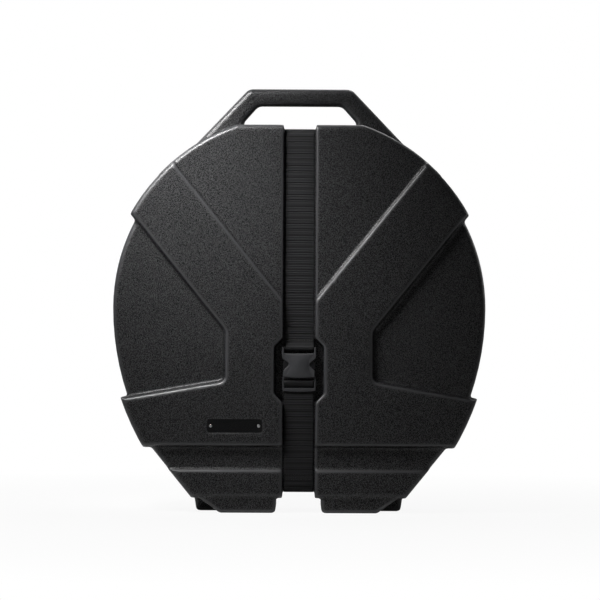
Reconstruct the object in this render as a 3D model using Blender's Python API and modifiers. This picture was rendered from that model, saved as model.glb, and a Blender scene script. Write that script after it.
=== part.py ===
"""Cymbal case: two moulded shells, a webbing strap with a side-release buckle, and a centre post.

Units are metres. X runs from left to right, Y from front to back and Z up. The case stands on its
feet at z = 0, and the origin lies between them, halfway through the case's depth. The lid faces -Y.
"""

import math

import bmesh
import bpy
from mathutils import Vector

# Case outline, seen from the front
CENTRE_HEIGHT = 0.3495
TOP_RADIUS = 0.3194
LOWER_RADIUS = 0.4620
SIDE_KNEE_HEIGHT = 0.1090
LOWER_SIDE_ANGLE = math.radians(50.9)
TOP_CUT = 0.0183
FOOT_HEIGHT = 0.024
TOP_SEGMENTS = 44
LOWER_SEGMENTS = 10
CORNER_SEGMENTS = 5

# Shells
CASE_DEPTH = 0.200
WALL = 0.004
DRAFT_SHARE = 0.024
EDGE_RADIUS = 0.008
EDGE_SEGMENTS = 4
INSIDE_EDGE_SEGMENTS = 2
RIM_Y = -0.018
RIM_GAP = 0.0003
SHOULDER = 0.008
TONGUE_LENGTH = 0.025
TONGUE_CLEARANCE = 0.0006
TONGUE_WALL = 0.0034

# Raised bands: how far each stands out sideways and forward from the low face
BAND_PROUD = 0.0122
BAND_STEP = 0.012
CROWN_PROUD = 0.0132
CROWN_STEP = 0.007
SOLE_PROUD = 0.0006
SOLE_STEP = 0.006
BAND_ANGLE = math.radians(51.2)
BAND_MEET_HEIGHT = 0.3345
BAND_WIDTH = 0.116
POCKET_SIDE = 0.1294
POCKET_FLOOR_HEIGHT = 0.2270
POCKET_FALL_ANGLE = math.radians(9.85)
POCKET_CORNER = 0.008
BAND_FOOT_HEIGHT = 0.1113
SOLE_HEIGHT = 0.0755
SLOPE_ANGLE = math.radians(20)
SLOPE_EDGE = 0.004
SLOPE_SEGMENTS = 3

# Strap channel and buckle recess
WEBBING_WIDTH = 0.0508
WEBBING_THICKNESS = 0.0015
WEBBING_GAP = 0.0003
CHANNEL_SIDE_GAP = 0.0023
CHANNEL_SINK = 0.0045
CHANNEL_TOP_SINK = 0.0097
CHANNEL_BOTTOM_SINK = 0.0131
CHANNEL_CORNER = 0.012
CHANNEL_REACH = 0.030
RECESS_LOW = 0.1884
RECESS_HIGH = 0.2989
RECESS_SIDE = 0.0421
RECESS_CHAMFER = 0.0145
RECESS_DEPTH = 0.026

# Handle and feet
HANDLE_RISE = 0.0663
HANDLE_GRIP = 0.0295
HANDLE_THICKNESS = 0.030
HANDLE_TOP_HALF = 0.0889
HANDLE_ROOT_HALF = 0.1884
HANDLE_CORNER = 0.016
HANDLE_GAP_TOP_HALF = 0.0725
HANDLE_GAP_SIDE_HALF = 0.0985
HANDLE_GAP_SIDE_RISE = 0.0076
HANDLE_GAP_FOOT_HALF = 0.0925
HANDLE_GAP_CORNER = 0.014
HANDLE_GAP_SIDE_CORNER = 0.009
HANDLE_EDGE = 0.012
HANDLE_EDGE_SEGMENTS = 4
FOOT_INNER_HALF = 0.0390
FRONT_FOOT_OUTER_HALF = 0.1346
FRONT_FOOT_FLARE = 0.0334
REAR_FOOT_OUTER_HALF = 0.1765
REAR_FOOT_FLARE = 0.0035
FOOT_CORNER = 0.006
FOOT_SINK = 0.004
FOOT_EDGE = 0.004
FOOT_SETBACK = 0.012
FOOT_RIM_GAP = 0.001

# Badge plate
PLATE_CENTRE_X = -0.1090
PLATE_CENTRE_Z = 0.1485
PLATE_LENGTH = 0.0950
PLATE_HEIGHT = 0.0242
PLATE_THICKNESS = 0.0008
PLATE_CORNER = 0.002
PLATE_GAP = 0.0003
PLATE_SINK = 0.002
RIVET_INSET = 0.0066
RIVET_RADIUS = 0.0015
RIVET_LENGTH = 0.0032
RIVET_HEAD_RADIUS = 0.0026
RIVET_HEAD_HEIGHT = 0.0006

# Buckle
BUCKLE_HALF_WIDTH = 0.0292
SOCKET_LOW = 0.2320
SOCKET_TOP = 0.2723
SOCKET_EAR_TOP = 0.2832
SOCKET_THICKNESS = 0.0120
SOCKET_CORNER = 0.0016
SOCKET_EDGE = 0.0010
SOCKET_BAR_RADIUS = 0.0016
SOCKET_BAR_HEIGHT = 0.2810
SOCKET_WAIST_HALF = 0.0177
SOCKET_WAIST_LOW = 0.2515
SOCKET_WAIST_HIGH = 0.2560
SOCKET_SHOULDER_HEIGHT = 0.2430
SOCKET_SHOULDER_HALF = 0.0270
SOCKET_EAR_FOOT_HEIGHT = 0.2640
SOCKET_MOUTH_HALF = 0.0235
SOCKET_MOUTH_TOP = 0.2636
SOCKET_MOUTH_THICKNESS = 0.0056
PLUG_GAP = 0.0003
PLUG_THICKNESS = 0.0050
PLUG_BEAM_HEIGHT = 0.0017
PLUG_GUIDE_HALF = 0.0050
PLUG_GUIDE_LENGTH = 0.0300
PLUG_RAIL_WIDTH = 0.0028
PLUG_BAR_THICKNESS = 0.0040
PLUG_BAR_TOP = 0.2260
PLUG_BAR_LOW = 0.2180
PLUG_FOOT_TOP = 0.2134
PLUG_FOOT_LOW = 0.2083
PLUG_FOOT_DROP = 0.0012
ARM_ROOT_INNER = 0.0130
ARM_ROOT_OUTER = 0.0175
ARM_ROOT_RISE = 0.0007
ARM_NECK_HALF = 0.0192
ARM_NECK_HEIGHT = 0.0088
ARM_HOOK_HALF = 0.0226
ARM_HOOK_HEIGHT = 0.0156
ARM_PAD_HALF = 0.0272
ARM_PAD_LOW = 0.0128
ARM_PAD_HIGH = 0.0245
ARM_TIP_HALF = 0.0190
ARM_LENGTH = 0.0308
ARM_CORNER = 0.0012

# Webbing ends
UPPER_FOLD_LENGTH = 0.013
UPPER_FOLD_RISE = 0.008
LOWER_TAIL_HEIGHT = 0.0473
FOLD_BEND = 0.003
SLOT_BEND = 0.00125

# Foam pads and the centre post
PAD_THICKNESS = 0.020
PAD_GAP = 0.0003
PAD_EDGE_GAP = 0.008
PAD_SLOT_GAP = 0.003
PAD_HOLE_RADIUS = 0.034
POST_RADIUS = 0.006
POST_TIP_Y = -0.045
POST_TIP_CHAMFER = 0.002
BORE_GAP = 0.0003
FLANGE_RADIUS = 0.028
FLANGE_THICKNESS = 0.004
FLANGE_HUB_RADIUS = 0.011
FLANGE_HUB_HEIGHT = 0.006
FLANGE_RIVETS = 4
FLANGE_RIVET_CIRCLE = 0.021
FLANGE_RIVET_RADIUS = 0.0022
FLANGE_RIVET_HEAD_RADIUS = 0.0042
FLANGE_RIVET_HEAD_HEIGHT = 0.0018
FELT_RADIUS = 0.030
LOWER_FELT_THICKNESS = 0.012
UPPER_FELT_THICKNESS = 0.010
WASHER_RADIUS = 0.024
WASHER_THICKNESS = 0.002
NUT_FOOT_RADIUS = 0.0115
NUT_TOP_RADIUS = 0.0090
NUT_HEIGHT = 0.014
WING_SPAN = 0.031
WING_ROOT_HALF = 0.006
WING_RISE = 0.024
WING_WIDTH = 0.013
WING_THICKNESS = 0.004
WING_CORNER = 0.004

# One overrun serves every cut, and round pieces share their segment counts
OVERRUN = 0.001
FACE_OVERRUN = 0.0001
FAR = 0.030
ROUND_SEGMENTS = 28
SMALL_SEGMENTS = 12
MERGE = 0.000001

# Where a rivet head's dome turns, as shares of its radius and height
DOME_RADIUS_SHARE = 0.7
DOME_HEIGHT_SHARE = 0.8

# Worked out from the sizes above
FACE = CASE_DEPTH / 2
LOW_FACE = FACE - BAND_STEP
CROWN_FACE = LOW_FACE + CROWN_STEP
SOLE_FACE = LOW_FACE + SOLE_STEP
LEVEL_TOP = CENTRE_HEIGHT + TOP_RADIUS + CROWN_PROUD - TOP_CUT
OUTSIDE = max(TOP_RADIUS, LOWER_RADIUS) + BAND_PROUD + FAR
CHANNEL_HALF = WEBBING_WIDTH / 2 + CHANNEL_SIDE_GAP
CHANNEL_FACE = LOW_FACE - CHANNEL_SINK
CHANNEL_TOP = LEVEL_TOP - CHANNEL_TOP_SINK
CHANNEL_BOTTOM = FOOT_HEIGHT + CHANNEL_BOTTOM_SINK
RECESS_FACE = FACE - RECESS_DEPTH
WEBBING_PITCH = WEBBING_THICKNESS + WEBBING_GAP
WEBBING_SEAT = WEBBING_GAP + WEBBING_THICKNESS / 2
STRAP_Y = -CHANNEL_FACE - WEBBING_SEAT
STRAP_OUTER_Y = STRAP_Y - WEBBING_THICKNESS / 2
HANDLE_TOP_HEIGHT = LEVEL_TOP + HANDLE_RISE
HANDLE_GAP_TOP = HANDLE_TOP_HEIGHT - HANDLE_GRIP
PLUG_Y = STRAP_Y - WEBBING_SEAT - PLUG_BAR_THICKNESS / 2
RAIL_INNER = WEBBING_WIDTH / 2 + WEBBING_GAP
ARM_PIVOT_X = (ARM_ROOT_INNER + ARM_ROOT_OUTER) / 2
ARM_PIVOT_Z = SOCKET_LOW
FLANGE_Y = CHANNEL_FACE - WALL - PAD_GAP

FRONT = -1
BACK = 1


def new_collection(name):
    collection = bpy.data.collections.new(name)
    bpy.context.scene.collection.children.link(collection)
    return collection


def new_object(name, mesh_data, collection):
    """An object of this bmesh, with its faces turned outwards."""
    bmesh.ops.recalc_face_normals(mesh_data, faces=mesh_data.faces)
    mesh = bpy.data.meshes.new(name)
    mesh_data.to_mesh(mesh)
    mesh_data.free()
    part = bpy.data.objects.new(name, mesh)
    collection.objects.link(part)
    return part


def apply_modifiers(part):
    """Turns the part's modifiers into mesh, so that the part can be cut and joined further."""
    bpy.context.view_layer.objects.active = part
    for modifier in list(part.modifiers):
        bpy.ops.object.modifier_apply(modifier=modifier.name)
    return part


def boolean(part, other, operation):
    """Joins other to the part, cuts it out or keeps what they share. The other piece is used up."""
    modifier = part.modifiers.new(other.name, "BOOLEAN")
    modifier.operation = operation
    modifier.object = other
    apply_modifiers(part)
    bpy.data.objects.remove(other)
    return part


def cut_later(part, cutter):
    """Cuts the part by a modifier that stays live, with its cutter kept in the scene."""
    modifier = part.modifiers.new(cutter.name, "BOOLEAN")
    modifier.operation = "DIFFERENCE"
    modifier.object = cutter
    cutter.hide_render = True
    cutter.display_type = "WIRE"


def bevel(part, width, segments):
    modifier = part.modifiers.new("rounded edges", "BEVEL")
    modifier.width = width
    modifier.segments = segments
    modifier.limit_method = "ANGLE"
    modifier.angle_limit = math.radians(50)
    return part


def material(part, colour, roughness, metallic=0.0):
    """The part's own finish, and smooth shading across its rounded edges."""
    finish = bpy.data.materials.new(part.name)
    finish.use_nodes = True
    shader = finish.node_tree.nodes["Principled BSDF"]
    shader.inputs["Base Color"].default_value = (*colour, 1)
    shader.inputs["Roughness"].default_value = roughness
    shader.inputs["Metallic"].default_value = metallic
    part.data.materials.clear()
    part.data.materials.append(finish)
    part.data.shade_smooth()
    part.data.set_sharp_from_angle(angle=math.radians(30))


def arc(centre, radius, first, turn, count):
    """Points along an arc that starts at the angle first and turns by turn."""
    angles = [first + turn * step / count for step in range(count + 1)]
    return [(centre[0] + radius * math.cos(a), centre[1] + radius * math.sin(a)) for a in angles]


def rounded(corners):
    """An outline through (across, up, radius) corners, each turned by an arc of its own radius."""
    points = []
    for before, here, after in zip(corners[-1:] + corners[:-1], corners, corners[1:] + corners[:1]):
        corner = Vector(here[:2])
        radius = here[2]
        if not radius:
            points.append(tuple(corner))
            continue
        back = (Vector(before[:2]) - corner).normalized()
        ahead = (Vector(after[:2]) - corner).normalized()
        half = math.acos(back.dot(ahead)) / 2
        centre = corner + (back + ahead).normalized() * (radius / math.sin(half))
        start = corner + back * (radius / math.tan(half)) - centre
        end = corner + ahead * (radius / math.tan(half)) - centre
        first = math.atan2(start.y, start.x)
        turn = math.remainder(math.atan2(end.y, end.x) - first, math.tau)
        points += arc(centre, radius, first, turn, CORNER_SEGMENTS)
    return points


def moved_in(points, distance):
    """The outline with each side moved inward by distance. Its points run anticlockwise."""
    moved = []
    for before, here, after in zip(points[-1:] + points[:-1], points, points[1:] + points[:1]):
        one = (Vector(here) - Vector(before)).normalized()
        two = (Vector(after) - Vector(here)).normalized()
        inward = Vector((-one.y - two.y, one.x + two.x)) / (1 + one.dot(two))
        moved.append(tuple(Vector(here) + inward * distance))
    return moved


def both_sides(right):
    """A closed outline from its right half, which runs from the bottom to the top."""
    return right + [(-corner[0], *corner[1:]) for corner in reversed(right)]


def rectangle(low_x, low_z, high_x, high_z):
    return [(low_x, low_z), (high_x, low_z), (high_x, high_z), (low_x, high_z)]


def prism(name, points, axis, low, high, collection):
    """A straight solid between low and high along the axis. Its outline lies in the other two axes."""
    mesh = bmesh.new()
    places = {"X": lambda u, v: (low, u, v), "Y": lambda u, v: (u, low, v), "Z": lambda u, v: (u, v, low)}
    length = {"X": (high - low, 0, 0), "Y": (0, high - low, 0), "Z": (0, 0, high - low)}
    face = mesh.faces.new([mesh.verts.new(places[axis](*point)) for point in points])
    raised = bmesh.ops.extrude_face_region(mesh, geom=[face])["geom"]
    bmesh.ops.translate(
        mesh, verts=[item for item in raised if isinstance(item, bmesh.types.BMVert)], vec=length[axis]
    )
    return new_object(name, mesh, collection)


def block(name, points, start, facing, straight, steps, collection):
    """A solid on an outline at y = start. It rises straight first, then by steps of (inset, rise)."""
    mesh = bmesh.new()
    ring = points if facing == FRONT else points[::-1]
    base = mesh.faces.new([mesh.verts.new((x, start, z)) for x, z in ring])
    raised = bmesh.ops.extrude_face_region(mesh, geom=[base])["geom"]
    face = next(item for item in raised if isinstance(item, bmesh.types.BMFace))
    bmesh.ops.translate(mesh, verts=face.verts, vec=(0, straight * facing, 0))
    for inset, rise in steps:
        bmesh.ops.inset_region(mesh, faces=[face], thickness=inset, depth=rise, use_even_offset=True)
    return new_object(name, mesh, collection)


def turned(name, profile, place, collection, segments=ROUND_SEGMENTS):
    """A solid turned about the Y axis through place (x, z), from a profile of (radius, y) points."""
    mesh = bmesh.new()
    ring = [mesh.verts.new((radius, y, 0)) for radius, y in profile]
    closed = profile[0][0] > 0
    for one, two in zip(ring, ring[1:] + ring[:1] if closed else ring[1:]):
        mesh.edges.new((one, two))
    part = new_object(name, mesh, collection)
    screw = part.modifiers.new("turned", "SCREW")
    screw.axis = "Y"
    screw.steps = segments
    screw.render_steps = segments
    screw.use_merge_vertices = True
    screw.merge_threshold = MERGE
    apply_modifiers(part)
    outward = bmesh.new()
    outward.from_mesh(part.data)
    bmesh.ops.remove_doubles(outward, verts=outward.verts, dist=MERGE)
    bmesh.ops.recalc_face_normals(outward, faces=outward.faces)
    bmesh.ops.translate(outward, verts=outward.verts, vec=(place[0], 0, place[1]))
    outward.to_mesh(part.data)
    outward.free()
    return part


def join_all(name, parts):
    """One cutter that holds these separate solids."""
    whole = bmesh.new()
    for part in parts:
        whole.from_mesh(part.data)
    joined = new_object(name, whole, parts[0].users_collection[0])
    for part in parts:
        bpy.data.objects.remove(part)
    joined.name = name
    return joined


def webbing(name, corners, collection):
    """A strap of webbing along a route of (y, z, radius) corners, centred on the case."""
    mesh = bmesh.new()
    route = [mesh.verts.new((-WEBBING_WIDTH / 2, y, z)) for y, z in rounded(corners)]
    edges = [mesh.edges.new(pair) for pair in zip(route, route[1:])]
    swept = bmesh.ops.extrude_edge_only(mesh, edges=edges)["geom"]
    bmesh.ops.translate(
        mesh,
        verts=[item for item in swept if isinstance(item, bmesh.types.BMVert)],
        vec=(WEBBING_WIDTH, 0, 0),
    )
    bmesh.ops.remove_doubles(mesh, verts=mesh.verts, dist=MERGE)
    strap = new_object(name, mesh, collection)
    solidify = strap.modifiers.new("thickness", "SOLIDIFY")
    solidify.thickness = WEBBING_THICKNESS
    solidify.offset = 0
    solidify.use_even_offset = True
    material(strap, (0.012, 0.012, 0.013), 0.75)
    return strap


def case_outline(offset, top, bottom):
    """The case seen from the front, moved out by offset and cut level at top and bottom.

    Its sides run straight down from the knees, and round from there up to the top.
    """
    upper = TOP_RADIUS + offset
    lower = LOWER_RADIUS + offset
    turn = math.asin((CENTRE_HEIGHT - SIDE_KNEE_HEIGHT) / LOWER_RADIUS)
    highest = math.asin((top - CENTRE_HEIGHT) / upper)
    lower_centre = (TOP_RADIUS - LOWER_RADIUS, CENTRE_HEIGHT)
    side = arc(lower_centre, lower, -turn, turn, LOWER_SEGMENTS)
    knee_x, knee_z = side[0]
    right = [(knee_x - (knee_z - bottom) / math.tan(LOWER_SIDE_ANGLE), bottom)] + side
    right += arc((0, CENTRE_HEIGHT), upper, 0, highest, TOP_SEGMENTS // 2)[1:]
    return both_sides(right)


def edge_steps(radius, count):
    """The (inset, rise) steps that round an edge by this radius."""
    angles = [math.pi / 2 * step / count for step in range(count + 1)]
    return [
        (radius * (math.cos(low) - math.cos(high)), radius * (math.sin(high) - math.sin(low)))
        for low, high in zip(angles, angles[1:])
    ]


def level_form(name, proud, face, inset, start, facing, collection):
    """One level of a shell: drafted sides, a rounded edge and a flat face. An inset gives its inside."""
    radius = max(EDGE_RADIUS - inset, EDGE_RADIUS / 4)
    spread = DRAFT_SHARE * (RIM_Y - start) * facing
    top = LEVEL_TOP + proud - CROWN_PROUD - inset
    bottom = FOOT_HEIGHT + SOLE_PROUD - proud + inset
    wall = (face - inset - radius) - start * facing
    points = case_outline(proud - inset + spread, top + spread, bottom - spread)
    edge = edge_steps(radius, INSIDE_EDGE_SEGMENTS if inset else EDGE_SEGMENTS)
    steps = [(DRAFT_SHARE * wall, wall - OVERRUN)] + edge
    return block(name, points, start, facing, OVERRUN, steps, collection)


def band_outline(inset):
    """The raised band's foot line: a V from both shoulders, and a bar across below the two pockets."""
    slope = math.tan(BAND_ANGLE)
    low_meet = BAND_MEET_HEIGHT - BAND_WIDTH / math.cos(BAND_ANGLE)
    pocket_fall = math.tan(POCKET_FALL_ANGLE) * (OUTSIDE - POCKET_SIDE)
    right = [
        (OUTSIDE, BAND_FOOT_HEIGHT, 0),
        (OUTSIDE, POCKET_FLOOR_HEIGHT - pocket_fall, 0),
        (POCKET_SIDE, POCKET_FLOOR_HEIGHT, POCKET_CORNER),
        (POCKET_SIDE, low_meet + POCKET_SIDE * slope, POCKET_CORNER),
        (OUTSIDE, low_meet + OUTSIDE * slope, 0),
        (OUTSIDE, BAND_MEET_HEIGHT + OUTSIDE * slope, 0),
    ]
    left = both_sides(right)[len(right):]
    return moved_in(rounded(right + [(0, BAND_MEET_HEIGHT, 0)] + left), inset)


def crown_outline():
    """The crown's part of the case. Its lower edge runs hidden under the band."""
    slope = math.tan(BAND_ANGLE)
    meet = BAND_MEET_HEIGHT - BAND_WIDTH / 2
    high = LEVEL_TOP + FAR
    return [(0, meet)] + both_sides([(OUTSIDE, meet + OUTSIDE * slope), (OUTSIDE, high + OUTSIDE * slope)])


def sole_outline(inset):
    return moved_in(rectangle(-OUTSIDE, -FAR, OUTSIDE, SOLE_HEIGHT), inset)


def slope_steps(rise, count):
    """The (inset, rise) steps of a slope that rises to a face, with the edge between them rounded."""
    turn = math.pi / 2 - SLOPE_ANGLE
    angles = [SLOPE_ANGLE + turn * step / count for step in range(count + 1)]
    straight = rise - SLOPE_EDGE * (1 - math.sin(SLOPE_ANGLE))
    return [(straight * math.tan(SLOPE_ANGLE), straight)] + [
        (SLOPE_EDGE * (math.cos(low) - math.cos(high)), SLOPE_EDGE * (math.sin(high) - math.sin(low)))
        for low, high in zip(angles, angles[1:])
    ]


def raised_form(name, outline, proud, face, inset, start, facing, collection):
    """One raised part of a shell, with a slope all round it, within that level's sides and edge."""
    foot = LOW_FACE - inset - OVERRUN
    rise = face - inset - foot + FACE_OVERRUN
    steps = slope_steps(rise, 1 if inset else SLOPE_SEGMENTS)
    early = start - OVERRUN * facing
    raised = block(name, outline, early, facing, foot - early * facing, steps, collection)
    level = level_form(name + " level", proud, face, inset, start, facing, collection)
    return boolean(raised, level, "INTERSECT")


def channel_loop(offset):
    """The strap channel's floor in Y and Z, all the way round the case, moved out by offset."""
    radius = CHANNEL_CORNER + offset
    side = CHANNEL_FACE + offset
    low = CHANNEL_BOTTOM - offset
    high = CHANNEL_TOP + offset
    return rounded([(-side, low, radius), (side, low, radius), (side, high, radius), (-side, high, radius)])


def channel_cutter(inset, collection):
    """What the strap channel takes from a shell. An inset gives the ridge that it makes inside."""
    half = CHANNEL_HALF + inset
    ring = prism("channel", channel_loop(CHANNEL_REACH), "X", -half, half, collection)
    core = prism("channel floor", channel_loop(-inset), "X", -half - OVERRUN, half + OVERRUN, collection)
    return boolean(ring, core, "DIFFERENCE")


def recess_outline(inset):
    high = RECESS_HIGH
    low = RECESS_LOW
    cut = RECESS_CHAMFER
    right = [
        (RECESS_SIDE - cut, low),
        (RECESS_SIDE, low + cut),
        (RECESS_SIDE, high - cut),
        (RECESS_SIDE - cut, high),
    ]
    return moved_in(both_sides(right), -inset)


def case_rectangle():
    """A rectangle round the whole case, seen from the front."""
    return rectangle(-OUTSIDE, -FAR, OUTSIDE, LEVEL_TOP + FAR)


def case_form(name, inset, start, facing, collection):
    """Half of the case from y = start to its face. Insets of the same form give its walls and tongue.

    Each level starts at its own small distance before y = start, and one cut then trims them all.
    """
    early = start - OVERRUN * facing
    form = level_form(name, 0, LOW_FACE, inset, early, facing, collection)
    levels = [
        ("crown", crown_outline(), CROWN_PROUD, CROWN_FACE),
        ("band", band_outline(inset), BAND_PROUD, FACE),
        ("sole", sole_outline(inset), SOLE_PROUD, SOLE_FACE),
    ]
    for part, outline, proud, face in levels:
        early -= OVERRUN * facing
        raised = raised_form(part, outline, proud, face, inset, early, facing, collection)
        boolean(form, raised, "UNION")
    low, high = sorted((start, early - FAR * facing))
    boolean(form, prism("rim cut", case_rectangle(), "Y", low, high, collection), "DIFFERENCE")
    boolean(form, channel_cutter(inset, collection), "DIFFERENCE")
    if facing == FRONT:
        floor = -RECESS_FACE + inset
        recess = prism("recess", recess_outline(inset), "Y", -FACE - OVERRUN, floor, collection)
        boolean(form, recess, "DIFFERENCE")
    return form


def foot(side, outer_half, flare, low_y, high_y, inset, collection):
    """A foot below the shell. It reaches into the shell's wall, and an inset gives its hollow."""
    top = FOOT_HEIGHT + FOOT_SINK + 3 * inset
    corners = [
        (FOOT_INNER_HALF, top, 0),
        (FOOT_INNER_HALF, 0, FOOT_CORNER),
        (outer_half, 0, FOOT_CORNER),
        (outer_half + flare * top / FOOT_HEIGHT, top, 0),
    ]
    points = moved_in(rounded(corners), inset)
    if side < 0:
        points = [(-x, z) for x, z in reversed(points)]
    solid = prism("foot", points, "Y", low_y + inset, high_y - inset, collection)
    if not inset:
        apply_modifiers(bevel(solid, FOOT_EDGE, 2))
    return solid


def add_feet(form, outer_half, flare, low_y, high_y, inset, collection):
    for side in (-1, 1):
        boolean(form, foot(side, outer_half, flare, low_y, high_y, inset, collection), "UNION")


def handle(collection):
    """The carrying handle: an arch over the finger gap, rounded on both faces."""
    root = LEVEL_TOP - SHOULDER
    outer_root = LEVEL_TOP - HANDLE_THICKNESS - SHOULDER
    right = [
        (HANDLE_ROOT_HALF, outer_root, 0),
        (HANDLE_TOP_HALF, HANDLE_TOP_HEIGHT, HANDLE_CORNER),
    ]
    inner = [
        (-HANDLE_GAP_FOOT_HALF, root, 0),
        (-HANDLE_GAP_SIDE_HALF, LEVEL_TOP + HANDLE_GAP_SIDE_RISE, HANDLE_GAP_SIDE_CORNER),
        (-HANDLE_GAP_TOP_HALF, HANDLE_GAP_TOP, HANDLE_GAP_CORNER),
    ]
    corners = both_sides(right) + inner + [(-x, z, radius) for x, z, radius in reversed(inner)]
    half = HANDLE_THICKNESS / 2
    arch = prism("handle", rounded(corners), "Y", -half, half, collection)
    return apply_modifiers(bevel(arch, HANDLE_EDGE, HANDLE_EDGE_SEGMENTS))


def rear_shell(parts, cutters):
    """The rear shell: its tongue slides into the lid, and it carries the handle and rear feet."""
    start = RIM_Y + RIM_GAP
    shell = case_form("rear_shell", 0, start, BACK, parts)
    tongue_inset = WALL + TONGUE_CLEARANCE
    tongue = case_form("tongue", tongue_inset, RIM_Y + SHOULDER / 2, FRONT, cutters)
    slab = prism("tongue end", case_rectangle(), "Y", RIM_Y - TONGUE_LENGTH, RIM_Y + SHOULDER, cutters)
    boolean(shell, boolean(tongue, slab, "INTERSECT"), "UNION")
    boolean(shell, handle(cutters), "UNION")
    low_y = start + FOOT_RIM_GAP
    high_y = FACE - FOOT_SETBACK
    add_feet(shell, REAR_FOOT_OUTER_HALF, REAR_FOOT_FLARE, low_y, high_y, 0, cutters)
    inside = case_form("rear inside", WALL, RIM_Y + SHOULDER, BACK, cutters)
    add_feet(inside, REAR_FOOT_OUTER_HALF, REAR_FOOT_FLARE, low_y + SHOULDER, high_y, WALL, cutters)
    cut_later(shell, inside)
    throat_inset = tongue_inset + TONGUE_WALL
    cut_later(shell, case_form("throat", throat_inset, RIM_Y + SHOULDER + OVERRUN, FRONT, cutters))
    holes = [flange_rivet("flange hole", place, RIM_GAP, cutters) for place in flange_rivet_places()]
    cut_later(shell, join_all("flange holes", holes))
    material(shell, (0.022, 0.022, 0.024), 0.5)
    return shell


def front_shell(parts, cutters):
    """The lid's shell, with its front feet, buckle recess and badge recess."""
    shell = case_form("front_shell", 0, RIM_Y, FRONT, parts)
    low_y = -FACE + FOOT_SETBACK
    high_y = RIM_Y - FOOT_RIM_GAP
    add_feet(shell, FRONT_FOOT_OUTER_HALF, FRONT_FOOT_FLARE, low_y, high_y, 0, cutters)
    inside = case_form("front inside", WALL, RIM_Y + OVERRUN, FRONT, cutters)
    add_feet(inside, FRONT_FOOT_OUTER_HALF, FRONT_FOOT_FLARE, low_y, high_y, WALL, cutters)
    cut_later(shell, inside)
    badge = prism("badge recess", plate_outline(PLATE_GAP), "Y", -FACE - OVERRUN, -FACE + PLATE_SINK, cutters)
    cut_later(shell, badge)
    holes = [rivet("rivet hole", x, RIM_GAP, cutters) for x in rivet_places()]
    cut_later(shell, join_all("rivet holes", holes))
    material(shell, (0.022, 0.022, 0.024), 0.5)
    return shell


def plate_outline(gap):
    half_length = PLATE_LENGTH / 2 + gap
    half_height = PLATE_HEIGHT / 2 + gap
    corners = rectangle(-half_length, -half_height, half_length, half_height)
    placed = [(x + PLATE_CENTRE_X, z + PLATE_CENTRE_Z, PLATE_CORNER) for x, z in corners]
    return rounded(placed)


def rivet_places():
    reach = PLATE_LENGTH / 2 - RIVET_INSET
    return [PLATE_CENTRE_X - reach, PLATE_CENTRE_X + reach]


def rivet(name, x, gap, collection):
    """A badge rivet: its shank, and a domed head where no gap is asked for."""
    face = -FACE + PLATE_SINK - PLATE_GAP - PLATE_THICKNESS
    radius = RIVET_RADIUS + gap
    end = face + RIVET_LENGTH
    if gap:
        through = -FACE + WALL + OVERRUN
        profile = [(0, through), (radius, through), (radius, -FACE - OVERRUN), (0, -FACE - OVERRUN)]
        return turned(name, profile, (x, PLATE_CENTRE_Z), collection, SMALL_SEGMENTS)
    seat = face - PLATE_GAP
    crown = seat - RIVET_HEAD_HEIGHT
    profile = [
        (0, end),
        (radius, end),
        (radius, seat),
        (RIVET_HEAD_RADIUS, seat),
        (RIVET_HEAD_RADIUS, seat - RIVET_HEAD_HEIGHT / 3),
        (RIVET_HEAD_RADIUS * DOME_RADIUS_SHARE, seat - RIVET_HEAD_HEIGHT * DOME_HEIGHT_SHARE),
        (0, crown),
    ]
    return turned(name, profile, (x, PLATE_CENTRE_Z), collection, SMALL_SEGMENTS)


def badge(parts, cutters):
    """The bare badge plate in its recess, and its two rivets."""
    back = -FACE + PLATE_SINK - PLATE_GAP
    plate = prism("badge_plate", plate_outline(-PLATE_GAP), "Y", back - PLATE_THICKNESS, back, parts)
    holes = [rivet("plate hole", x, RIM_GAP, cutters) for x in rivet_places()]
    cut_later(plate, join_all("plate holes", holes))
    material(plate, (0.012, 0.012, 0.013), 0.35)
    for side, x in zip(("left", "right"), rivet_places()):
        material(rivet(f"badge_rivet_{side}", x, 0, parts), (0.75, 0.75, 0.76), 0.25, 1.0)


def socket_profile():
    """The buckle socket seen from the front: ears at the top, a waist and shoulders at the mouth."""
    ear = SOCKET_CORNER
    right = [
        (SOCKET_SHOULDER_HALF, SOCKET_LOW, ear),
        (SOCKET_SHOULDER_HALF, SOCKET_SHOULDER_HEIGHT, ear),
        (SOCKET_WAIST_HALF, SOCKET_WAIST_LOW, ear),
        (SOCKET_WAIST_HALF, SOCKET_WAIST_HIGH, ear),
        (BUCKLE_HALF_WIDTH, SOCKET_EAR_FOOT_HEIGHT, ear),
        (BUCKLE_HALF_WIDTH, SOCKET_EAR_TOP, ear),
        (RAIL_INNER, SOCKET_EAR_TOP, ear),
        (RAIL_INNER, SOCKET_TOP, 0),
    ]
    return rounded(both_sides(right))


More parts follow.
